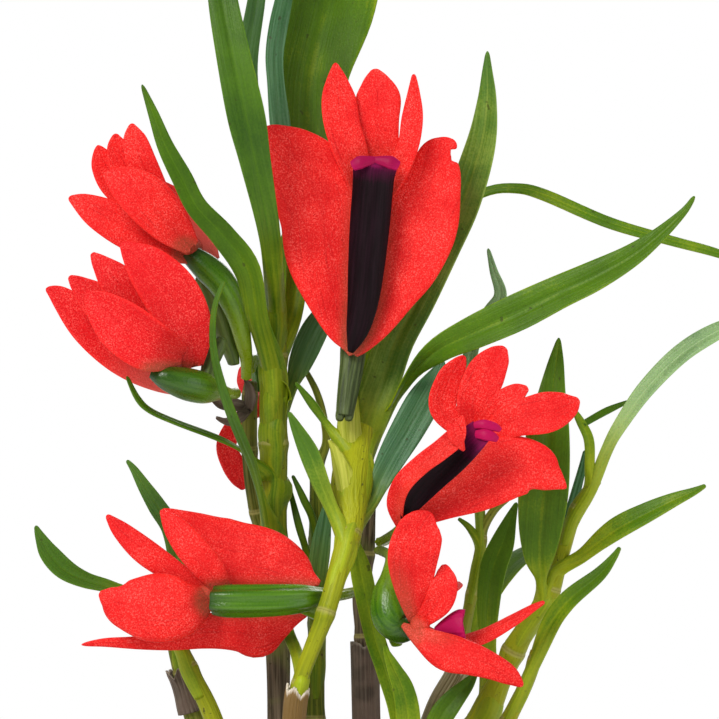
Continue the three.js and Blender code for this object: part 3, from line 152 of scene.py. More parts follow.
def piece(name, skins, finishes, slot, *nodes):
    """One mesh object from several skins, in metres, riding on the plant and standing for its solids."""
    mesh = bpy.data.meshes.new(name)
    starts = np.cumsum([0] + [len(s["points"]) for s in skins])
    faces = [(s[kind] + start).tolist() for s, start in zip(skins, starts) for kind in ("quads", "fans")]
    points = np.concatenate([s["points"] for s in skins])
    mesh.from_pydata(points[:, :3] * MM, [], [face for group in faces for face in group])
    sides = np.concatenate([np.full(len(s["quads"]) + len(s["fans"]), s["finish"]) for s in skins])
    mesh.polygons.foreach_set("material_index", sides.astype(np.int32))
    mesh.polygons.foreach_set("use_smooth", np.ones(len(sides), bool))
    for label, column in (("place", PLACE), ("grain", GRAIN), ("look", LOOK)):
        layer = mesh.attributes.new(label, "FLOAT_VECTOR", "POINT")
        layer.data.foreach_set("vector", points[:, column:column + 3].astype(np.float32).ravel())
    for finish in finishes:
        mesh.materials.append(finish)
    made = bpy.data.objects.new(name, mesh)
    bpy.context.scene.collection.objects.link(made)
    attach(made, "root")
    if nodes:
        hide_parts(*nodes)
    print(f"{name}: {len(points)} points, {len(sides)} faces")
    return made


print("columns of a point:", LOOK + 3)

# %% [markdown]
# ## Blades and stems
# Leaves, sepals and petals are one idea: a middle line, a width, a way the upper face looks, and a
# cross-section. The two faces lie half a thickness either side of the middle surface and meet in a
# rounded rim. Canes, stalks and spurs are round sections carried along their rows.

# %% Blade and stem
# No tip closes to a point. These are the least width in millimetres, and the least share of a blade's
# thickness and of a stem's radius.
LEAST_WIDTH, LEAST_RIM, LEAST_END = 0.45, 0.1, 0.05


def blade(rows, face, section, thickness, look=(0, 0, 0), finish=0, stations=56, columns=13, tip=0.03):
    """Point at v across and t along = row + sideways * v * width / 2 + outwards * section(v, t, width).
    Sideways is the heading crossed with the face. The thickness falls as sqrt(1 - v^6) to a rounded rim,
    and the width as a quarter circle over the last part, tip, of the length."""
    t = np.sin(np.linspace(0, np.pi / 2, stations))
    curve = along(rows, t)
    ahead = heading(rows, t)
    looks = np.outer(1 - t, face[0]) + np.outer(t, face[1])
    sideways = unit(np.cross(ahead, looks))
    outwards = unit(np.cross(sideways, ahead))
    closing = np.sqrt(1 - np.clip((t - 1 + tip) / tip, 0, 1) ** 2)
    width = (np.maximum(curve[:, 3], LEAST_WIDTH) * closing)[:, None]
    v = np.sin(np.linspace(-np.pi / 2, np.pi / 2, columns))[None]
    lift = section(v, t[:, None], width)
    middle = curve[:, None, :3] + sideways[:, None] * (v * width / 2)[..., None]
    middle += outwards[:, None] * lift[..., None]
    half = thickness / 2 * np.sqrt(1 - v**6) * np.maximum(closing[:, None], LEAST_RIM)
    half = half[..., None] * outwards[:, None]
    back = slice(-2, 0, -1)
    loops = np.concatenate([middle + half, (middle - half)[:, back]], 1)
    loops[..., 2] += MEDIUM_LEVEL
    v_round = np.concatenate([v[0], v[0, back]]) + 0 * width
    under = np.concatenate([np.abs(v[0]) ** 8 / 2, 1 - np.abs(v[0, back]) ** 8 / 2]) + 0 * width
    place = np.stack([v_round, t[:, None] + 0 * v_round, under], -1)
    grain = np.stack([v_round * width / 2, under, travelled(curve[:, :3])[:, None] + 0 * v_round], -1)
    marks = look(t[:, None]) if callable(look) else np.asarray(look, float)
    return skin(loops, place, grain, marks, finish)


def stem(rows, reach=lambda angle, height: 1, look=(0, 0, 0), finish=0, stations=80, around=20,
         rounded=0.02):
    """A point at an angle = row + radius * reach(angle, height) * (cos * side + sin * other), where side
    and other are square to the heading. The radius closes as a quarter circle at both ends, over the part
    rounded, and the stations lie closer together there."""
    t = (1 - np.cos(np.linspace(0, np.pi, stations))) / 2 * 0.5 + np.linspace(0, 1, stations) * 0.5
    curve = along(rows, t)
    ahead = heading(rows, t)
    reference = np.eye(3)[np.abs(ahead).max(0).argmin()]
    side = unit(reference - ahead * (ahead @ reference)[:, None])
    other = np.cross(ahead, side)
    angle = np.linspace(0, 2 * np.pi, around, endpoint=False)[None]
    height = curve[:, 2:3]
    from_end = np.minimum(t, 1 - t)
    closing = np.sqrt(1 - np.clip(1 - from_end / rounded, 0, 1) ** 2)[:, None]
    radius = curve[:, 3:4] * reach(angle, height) * np.maximum(closing, LEAST_END) + 0 * angle
    round_it = np.cos(angle)[..., None] * side[:, None] + np.sin(angle)[..., None] * other[:, None]
    loops = curve[:, None, :3] + radius[..., None] * round_it
    loops[..., 2] += MEDIUM_LEVEL
    zero = 0 * radius
    place = np.stack([np.cos(angle) + zero, t[:, None] + zero, np.sin(angle) + zero], -1)
    far = travelled(curve[:, :3])[:, None] + zero
    grain = np.stack([np.cos(angle) * radius, np.sin(angle) * radius, far], -1)
    marks = look(height + zero) if callable(look) else np.asarray(look, float)
    return skin(loops, place, grain, marks, finish)


print("least width of a blade:", LEAST_WIDTH, "mm")

# %% [markdown]
# ## Finishes
# Every finish is one Principled shader. Its colour and relief come from noise in object space, and from
# the marks that the skins carry. A few short helpers keep the node trees readable.

# %% Node helpers
def feed(finish, socket, value):
    """Links a socket to another node's output, or sets it to a number or a colour."""
    if isinstance(value, bpy.types.NodeSocket):
        finish.node_tree.links.new(value, socket)
    elif isinstance(value, tuple) and len(socket.default_value) == 4:
        socket.default_value = (*value, 1)
    else:
        socket.default_value = value


def new_finish(name, **sockets):
    """A material with one Principled shader, with its plain numbers set on its own sockets."""
    finish = bpy.data.materials.new(name)
    finish.use_nodes = True
    shader = finish.node_tree.nodes["Principled BSDF"]
    for socket, value in sockets.items():
        shader.inputs[socket.replace("_", " ")].default_value = value
    return finish


def mark(finish, name, axis):
    """One axis of a mark that the mesh carries: place, grain or look."""
    node = finish.node_tree.nodes.new("ShaderNodeAttribute")
    node.attribute_name = name
    split = finish.node_tree.nodes.new("ShaderNodeSeparateXYZ")
    finish.node_tree.links.new(node.outputs["Vector"], split.inputs[0])
    return split.outputs[axis]


def grain_space(finish, across, lengthwise):
    """The grain mark scaled: large across and small lengthwise makes streaks that follow the piece."""
    node = finish.node_tree.nodes.new("ShaderNodeAttribute")
    node.attribute_name = "grain"
    mapping = finish.node_tree.nodes.new("ShaderNodeMapping")
    mapping.inputs["Scale"].default_value = (across, across, lengthwise)
    finish.node_tree.links.new(node.outputs["Vector"], mapping.inputs["Vector"])
    return mapping.outputs["Vector"]


def object_space(finish):
    """The piece's own coordinates, in metres."""
    return finish.node_tree.nodes.new("ShaderNodeTexCoord").outputs["Object"]


def noise(finish, space, scale, detail=2.0, roughness=0.5, distortion=0.0):
    """Smooth random values from 0 to 1, with the given number of features to a unit of space."""
    node = finish.node_tree.nodes.new("ShaderNodeTexNoise")
    finish.node_tree.links.new(space, node.inputs["Vector"])
    numbers = {"Scale": scale, "Detail": detail, "Roughness": roughness, "Distortion": distortion}
    for socket, value in numbers.items():
        node.inputs[socket].default_value = value
    return node.outputs["Fac"]


def remap(finish, value, low, high, to_low=0.0, to_high=1.0):
    """A value's range from low to high, stretched to another range and held at its ends."""
    node = finish.node_tree.nodes.new("ShaderNodeMapRange")
    finish.node_tree.links.new(value, node.inputs["Value"])
    numbers = {"From Min": low, "From Max": high, "To Min": to_low, "To Max": to_high}
    for socket, number in numbers.items():
        node.inputs[socket].default_value = number
    return node.outputs["Result"]


def calc(finish, operation, first, second=0.0):
    """One sum on two values, such as ADD, MULTIPLY or ABSOLUTE."""
    node = finish.node_tree.nodes.new("ShaderNodeMath")
    node.operation = operation
    feed(finish, node.inputs[0], first)
    feed(finish, node.inputs[1], second)
    return node.outputs[0]


def blend(finish, factor, first, second):
    """A colour between two colours. A Mix node keeps its factor, its colours and the mixed colour in
    these numbered sockets."""
    node = finish.node_tree.nodes.new("ShaderNodeMix")
    node.data_type = "RGBA"
    for socket, value in ((0, factor), (6, first), (7, second)):
        feed(finish, node.inputs[socket], value)
    return node.outputs[2]


def apply_finish(finish, colour, relief, depth, roughness=None):
    """Feeds the colour, a bump whose height is relief * depth in metres, and a roughness if it varies."""
    shader = finish.node_tree.nodes["Principled BSDF"]
    bump = finish.node_tree.nodes.new("ShaderNodeBump")
    bump.inputs["Distance"].default_value = depth
    bump.inputs["Strength"].default_value = 1.0
    feed(finish, bump.inputs["Height"], relief)
    feed(finish, shader.inputs["Normal"], bump.outputs["Normal"])
    feed(finish, shader.inputs["Base Color"], colour)
    if roughness is not None:
        feed(finish, shader.inputs["Roughness"], roughness)
    print("finish:", finish.name)
    return finish


print("marks a finish can read: place, grain and look")

# %% [markdown]
# ### Petal
# The petal is saturated scarlet with a fine crystalline grain: its surface cells are tiny and
# dome-shaped, a fifth of a millimetre across. Their glints are painted in as pale flecks, with painted
# shade in the hollows between them. Faint veins run from base to tip. The colour fades to a dull
# olive-brown where the flower's parts meet. The cells are noise in object space, which has the same size
# everywhere, while the veins read the grain mark, so that they follow a petal that bends.

# %% Petal finish
def petal_finish():
    """Red, mixed in turn with darker veins, a darker red of painted shade, painted glints on the cells, a
    dark keel, painted shade in the gaps between the cells, a bright rim, olive-brown where it is joined,
    and a paler foot of a rear sepal, painted light where it is lit from behind. Relief = cells
    + 0.8 veins - 0.3 keel."""
    finish = new_finish("petal", Subsurface_Weight=0.12, Subsurface_Scale=0.0012,
                        Subsurface_Radius=(1, 0.2, 0.12), Specular_IOR_Level=0.14)
    space = object_space(finish)
    cells = noise(finish, space, 5000, 2.0, 0.6)
    clouds = noise(finish, space, 210, 2)
    veins = noise(finish, grain_space(finish, 2.6, 0.10), 1.0, 2, 0.5)
    red = blend(finish, remap(finish, clouds, 0.35, 0.65), (0.72, 0.007, 0.008), (0.87, 0.015, 0.012))
    red = blend(finish, remap(finish, veins, 0.42, 0.28, 0.0, 0.5), red, (0.48, 0.004, 0.006))
    # Painted shade: the look mark's second value darkens the whole red of a flower that lies in shade.
    red = blend(finish, mark(finish, "look", 1), red, (0.66, 0.004, 0.008))
    # Painted highlight: pale flecks where the tiny dome-shaped cells would catch the light.
    dome_glints = remap(finish, cells, 0.50, 0.68)
    dome_glints = calc(finish, "MULTIPLY", dome_glints, remap(finish, clouds, 0.35, 0.65, 0.3, 0.9))
    red = blend(finish, dome_glints, red, (0.98, 0.13, 0.11))
    keel = remap(finish, calc(finish, "ABSOLUTE", mark(finish, "place", 0)), 0.09, 0.0)
    red = blend(finish, calc(finish, "MULTIPLY", keel, 0.14), red, (0.42, 0.003, 0.006))
    # Painted shade: a darker red in the gaps between the cells.
    red = blend(finish, remap(finish, cells, 0.44, 0.30, 0.0, 0.6), red, (0.46, 0.003, 0.007))
    rim = remap(finish, calc(finish, "ABSOLUTE", mark(finish, "place", 0)), 0.86, 1.0, 0.0, 0.5)
    red = blend(finish, rim, red, (0.92, 0.020, 0.012))
    joined = calc(finish, "MULTIPLY", mark(finish, "look", 2), remap(finish, cells, 0.3, 0.7, 0.95, 0.45))
    red = blend(finish, joined, red, (0.20, 0.09, 0.04))
    # Painted light: the foot of a rear sepal is paler where light shines through it from behind.
    red = blend(finish, mark(finish, "look", 0), red, (0.93, 0.19, 0.15))
    relief = calc(finish, "ADD", cells, calc(finish, "MULTIPLY", veins, 0.8))
    relief = calc(finish, "SUBTRACT", relief, calc(finish, "MULTIPLY", keel, 0.3))
    return apply_finish(finish, red, relief, 0.00012, remap(finish, cells, 0.3, 0.7, 0.58, 0.40))


PETAL = petal_finish()

# %% [markdown]
# ### Lip
# The lip is a long channel, almost black with a purple cast, and turns magenta at its recurved mouth. The
# change follows the place mark along the lip, with streaks to make its line uneven. A gradient in space
# would cut straight across the curved channel.

# %% Lip finish
def lip_finish():
    """Near-black, mixed with purple and then magenta as place + streaks nears 1, dark again at the very
    edge, and mixed with a brighter magenta by the look mark. Relief = cells."""
    finish = new_finish("lip", Specular_IOR_Level=0.10)
    cells = noise(finish, object_space(finish), 3600, 2)
    streaks = noise(finish, grain_space(finish, 3.0, 0.14), 1.0, 2)
    dark = blend(finish, remap(finish, streaks, 0.4, 0.7), (0.006, 0.0015, 0.003), (0.014, 0.004, 0.008))
    mouth = calc(finish, "ADD", mark(finish, "place", 1), remap(finish, streaks, 0.3, 0.7, -0.03, 0.03))
    colour = blend(finish, remap(finish, mouth, 0.68, 0.86), dark, (0.075, 0.001, 0.030))
    colour = blend(finish, remap(finish, mouth, 0.82, 0.94), colour, (0.20, 0.002, 0.060))
    colour = blend(finish, remap(finish, mouth, 0.94, 1.0), colour, (0.075, 0.001, 0.030))
    colour = blend(finish, mark(finish, "look", 0), colour, (0.48, 0.004, 0.085))
    return apply_finish(finish, colour, cells, 0.00004, remap(finish, cells, 0.3, 0.7, 0.5, 0.36))


LIP = lip_finish()

# %% [markdown]
# ### Leaf
# Leaves are waxy, with close parallel veins, a pale midrib and a bright thin edge. They go from
# yellow-green at the base to a deeper green, and some have a blue bloom, whose paler streaks are partly
# painted highlight. The look mark says how pale and how blue each leaf is, so that one finish serves them
# all.

# %% Leaf finish
def leaf_finish():
    """Paleness = look + clouds + streaks + midrib + edge + pores. The green goes from deep to yellow as it
    rises, and is then mixed with the bloom and its partly painted highlight, brown specks, and the pale
    streaks of a clasping base. Relief = streaks + 0.25 pores."""
    finish = new_finish("leaf", Specular_IOR_Level=0.15, Subsurface_Weight=0.06, Subsurface_Scale=0.001,
                        Subsurface_Radius=(0.3, 1, 0.1))
    space = object_space(finish)
    clouds = noise(finish, space, 150, 3)
    pores = noise(finish, space, 3200, 2)
    streaks = noise(finish, grain_space(finish, 2.6, 0.05), 1.0, 3, 0.6)
    side = calc(finish, "ABSOLUTE", mark(finish, "place", 0))
    pale = calc(finish, "ADD", mark(finish, "look", 0), remap(finish, clouds, 0.3, 0.7, -0.20, 0.20))
    pale = calc(finish, "ADD", pale, remap(finish, streaks, 0.3, 0.7, -0.07, 0.08))
    pale = calc(finish, "ADD", pale, remap(finish, side, 0.10, 0.03, 0.0, 0.16))
    pale = calc(finish, "ADD", pale, remap(finish, side, 0.90, 1.0, 0.0, 0.35))
    pale = calc(finish, "ADD", pale, remap(finish, pores, 0.36, 0.64, -0.06, 0.06))
    green = blend(finish, remap(finish, pale, -0.35, 0.35), (0.017, 0.054, 0.002), (0.073, 0.162, 0.003))
    green = blend(finish, remap(finish, pale, 0.35, 1.1), green, (0.34, 0.42, 0.012))
    # The blue bloom is the leaf's own waxy coat. Its paler streaks and its pale end are partly painted
    # highlight on the waxy face.
    bloom = blend(finish, remap(finish, streaks, 0.35, 0.7), (0.026, 0.100, 0.040), (0.12, 0.26, 0.15))
    bloom = blend(finish, remap(finish, pale, 0.45, 1.0), bloom, (0.30, 0.48, 0.27))
    green = blend(finish, mark(finish, "look", 1), green, bloom)
    specks = remap(finish, noise(finish, space, 900, 1), 0.27, 0.22)
    green = blend(finish, calc(finish, "MULTIPLY", specks, 0.6), green, (0.03, 0.030, 0.006))
    sheath = calc(finish, "MULTIPLY", mark(finish, "look", 2), remap(finish, streaks, 0.36, 0.62))
    green = blend(finish, calc(finish, "MULTIPLY", sheath, 0.55), green, (0.30, 0.33, 0.012))
    relief = calc(finish, "ADD", streaks, calc(finish, "MULTIPLY", pores, 0.25))
    dull = remap(finish, mark(finish, "look", 1), 0.3, 0.8, 0.40, 0.24)
    dull = calc(finish, "ADD", dull, remap(finish, pores, 0.3, 0.7, 0.06, -0.04))
    return apply_finish(finish, green, relief, 0.00012, dull)


LEAF = leaf_finish()

# %% [markdown]
# ### Cane
# Young canes are yellow-olive with green furrows and a dark line at each joint. Old ones are grey-brown
# and dull. Both are one finish: the look mark's second value is the cane's age, and its third marks the
# joints.

# %% Cane finish
def cane_finish():
    """Young and old colours from furrows and clouds, mixed by age, then dotted. The joint mark mixes in a
    straw ring, with a dark line at its middle. Relief = furrows - 0.6 joint."""
    finish = new_finish("cane", Specular_IOR_Level=0.14)
    space = object_space(finish)
    furrows = noise(finish, grain_space(finish, 2.2, 0.05), 1.0, 3, 0.6)
    clouds = noise(finish, space, 130, 3)
    dots = noise(finish, space, 1500, 1)
    age = mark(finish, "look", 1)
    young = blend(finish, remap(finish, furrows, 0.36, 0.66), (0.050, 0.095, 0.003), (0.21, 0.25, 0.006))
    young = blend(finish, remap(finish, clouds, 0.45, 0.7, 0.0, 0.6), young, (0.33, 0.33, 0.010))
    young = blend(finish, mark(finish, "look", 0), young, (0.44, 0.46, 0.012))
    old = blend(finish, remap(finish, furrows, 0.36, 0.66), (0.035, 0.023, 0.015), (0.20, 0.145, 0.10))
    old = blend(finish, remap(finish, clouds, 0.5, 0.68), old, (0.12, 0.13, 0.035))
    colour = blend(finish, age, young, old)
    colour = blend(finish, remap(finish, dots, 0.30, 0.24, 0.0, 0.8), colour, (0.05, 0.04, 0.012))
    joint = mark(finish, "look", 2)
    colour = blend(finish, remap(finish, joint, 0.15, 0.6, 0.0, 0.55), colour, (0.42, 0.38, 0.12))
    colour = blend(finish, remap(finish, joint, 0.80, 0.98, 0.0, 0.35), colour, (0.10, 0.080, 0.015))
    relief = calc(finish, "ADD", furrows, calc(finish, "MULTIPLY", joint, -0.6))
    return apply_finish(finish, colour, relief, 0.00035, remap(finish, age, 0.0, 1.0, 0.40, 0.72))


CANE = cane_finish()

# %% [markdown]
# ### Papery sheath
# The dried sheaths are fibrous and streaked, grey-brown when old and straw-green when fresh, with a pale
# torn edge. The place mark runs from 0 at a sheath's foot to 1 at its tear, so the pale line follows the
# teeth however ragged they are.

# %% Sheath finish
def sheath_finish():
    """Paper from fibres and stains, mixed with brown, dark and fresh shades by the look mark, and pale
    where place is past 0.975. Relief = fibres."""
    finish = new_finish("sheath", Specular_IOR_Level=0.3)
    fibres = noise(finish, grain_space(finish, 3.4, 0.05), 1.0, 3, 0.65)
    stains = noise(finish, object_space(finish), 260, 3)
    paper = blend(finish, remap(finish, fibres, 0.34, 0.66), (0.13, 0.085, 0.055), (0.46, 0.37, 0.27))
    paper = blend(finish, remap(finish, stains, 0.5, 0.66, 0.0, 0.7), paper, (0.10, 0.07, 0.05))
    paper = blend(finish, mark(finish, "look", 0), paper, (0.20, 0.115, 0.026))
    dark = blend(finish, remap(finish, stains, 0.42, 0.60), (0.032, 0.022, 0.017), (0.13, 0.090, 0.068))
    paper = blend(finish, mark(finish, "look", 2), paper, dark)
    fresh = blend(finish, remap(finish, fibres, 0.36, 0.62), (0.28, 0.32, 0.012), (0.50, 0.52, 0.07))
    paper = blend(finish, mark(finish, "look", 1), paper, fresh)
    torn = remap(finish, mark(finish, "place", 1), 0.975, 0.995)
    torn = calc(finish, "MULTIPLY", torn, remap(finish, mark(finish, "look", 2), 0.0, 0.8, 0.9, 0.2))
    paper = blend(finish, torn, paper, (0.74, 0.66, 0.54))
    return apply_finish(finish, paper, fibres, 0.0003, remap(finish, fibres, 0.3, 0.7, 0.85, 0.65))


SHEATH = sheath_finish()

# %% [markdown]
# ### Ovary and spur
# The ovary is a glossy ribbed green with painted shade where it meets the flower and lies under the
# sepals, and its stalk is yellow-green. The spur is dull, and darker on some flowers. The look mark mixes
# all of these, because the change is gradual and a second material would leave a hard line.

# %% Ovary finish
def ovary_finish():
    """Green from streaks, mixed with the stalk's yellow-green, painted shade at the end next to the
    flower, and the spur's dull colour by the look mark. Relief = cells + streaks."""
    finish = new_finish("ovary", Specular_IOR_Level=0.4)
    space = object_space(finish)
    streaks = noise(finish, grain_space(finish, 1.8, 0.08), 1.0, 2)
    cells = noise(finish, space, 2800, 2)
    dark = mark(finish, "look", 1)
    green = blend(finish, remap(finish, streaks, 0.30, 0.70), (0.026, 0.100, 0.003), (0.090, 0.215, 0.006))
    green = blend(finish, mark(finish, "look", 0), green, (0.30, 0.40, 0.014))
    # Painted shade: darker green at the end of the ovary next to the flower, where it lies under the
    # sepals.
    shaded = calc(finish, "MULTIPLY", mark(finish, "look", 2), 0.85)
    green = blend(finish, shaded, green, (0.008, 0.036, 0.003))
    spur = blend(finish, remap(finish, streaks, 0.40, 0.62), (0.016, 0.020, 0.009), (0.075, 0.095, 0.035))
    green = blend(finish, dark, green, spur)
    dull = remap(finish, cells, 0.3, 0.7, 0.36, 0.24)
    dull = calc(finish, "ADD", dull, calc(finish, "MULTIPLY", dark, 0.3))
    return apply_finish(finish, green, calc(finish, "ADD", cells, streaks), 0.00006, dull)


OVARY = ovary_finish()

# %% [markdown]
# ### Clay and bark
# The pot is unglazed clay, which fires to an uneven orange-brown and gathers a pale bloom of lime. Bark
# is flaky along its grain and darker where it is damp. Both are rough, so they need relief and a high
# roughness more than gloss.

# %% Clay and bark finishes
def clay_finish():
    """Two clay colours mixed by slow noise, with dark grit and pale lime over them. Relief = grit."""
    finish = new_finish("clay", Specular_IOR_Level=0.25)
    space = object_space(finish)
    grit = noise(finish, space, 2200, 3, 0.7)
    lime = noise(finish, space, 60, 4, 0.65, 0.3)
    firing = remap(finish, noise(finish, space, 28, 3), 0.35, 0.65)
    clay = blend(finish, firing, (0.36, 0.105, 0.045), (0.50, 0.17, 0.075))
    clay = blend(finish, remap(finish, grit, 0.6, 0.75, 0.0, 0.5), clay, (0.22, 0.07, 0.035))
    clay = blend(finish, remap(finish, lime, 0.56, 0.74, 0.0, 0.45), clay, (0.66, 0.52, 0.42))
    return apply_finish(finish, clay, grit, 0.00012, remap(finish, grit, 0.3, 0.7, 0.95, 0.8))


def bark_finish():
    """Brown from flakes that follow the grain, darker where damp. Relief = flakes."""
    finish = new_finish("bark", Specular_IOR_Level=0.3)
    flakes = noise(finish, grain_space(finish, 0.9, 0.14), 1.0, 4, 0.65)
    damp = noise(finish, object_space(finish), 90, 3)
    bark = blend(finish, remap(finish, flakes, 0.35, 0.65), (0.030, 0.015, 0.008), (0.19, 0.095, 0.045))
    bark = blend(finish, remap(finish, damp, 0.45, 0.65, 0.0, 0.6), bark, (0.05, 0.028, 0.016))
    return apply_finish(finish, bark, flakes, 0.0006, remap(finish, damp, 0.4, 0.65, 0.85, 0.6))


CLAY, BARK = clay_finish(), bark_finish()

# %% [markdown]
# ## Canes and leaves
# Each cane is a stem with the leaves that grow on it. A stem's rows are (x, y, z, radius) from its foot
# up, joints are the heights where it swells, and a leaf's rows are (x, y, z, width) from its base to its
# tip. A leaf also has a fold, which lifts both edges by a share of the width, and the way its upper face
# looks at its base and its tip. The numbers are chosen leaf by leaf, because no two leaves are alike.

# %% Rows of the canes
def leaf(fold, face_base, face_tip, rows):
    """A leaf's fold, the way its upper face looks at its base and its tip, and its rows."""
    return {"fold": fold, "face": (face_base, face_tip), "rows": rows}


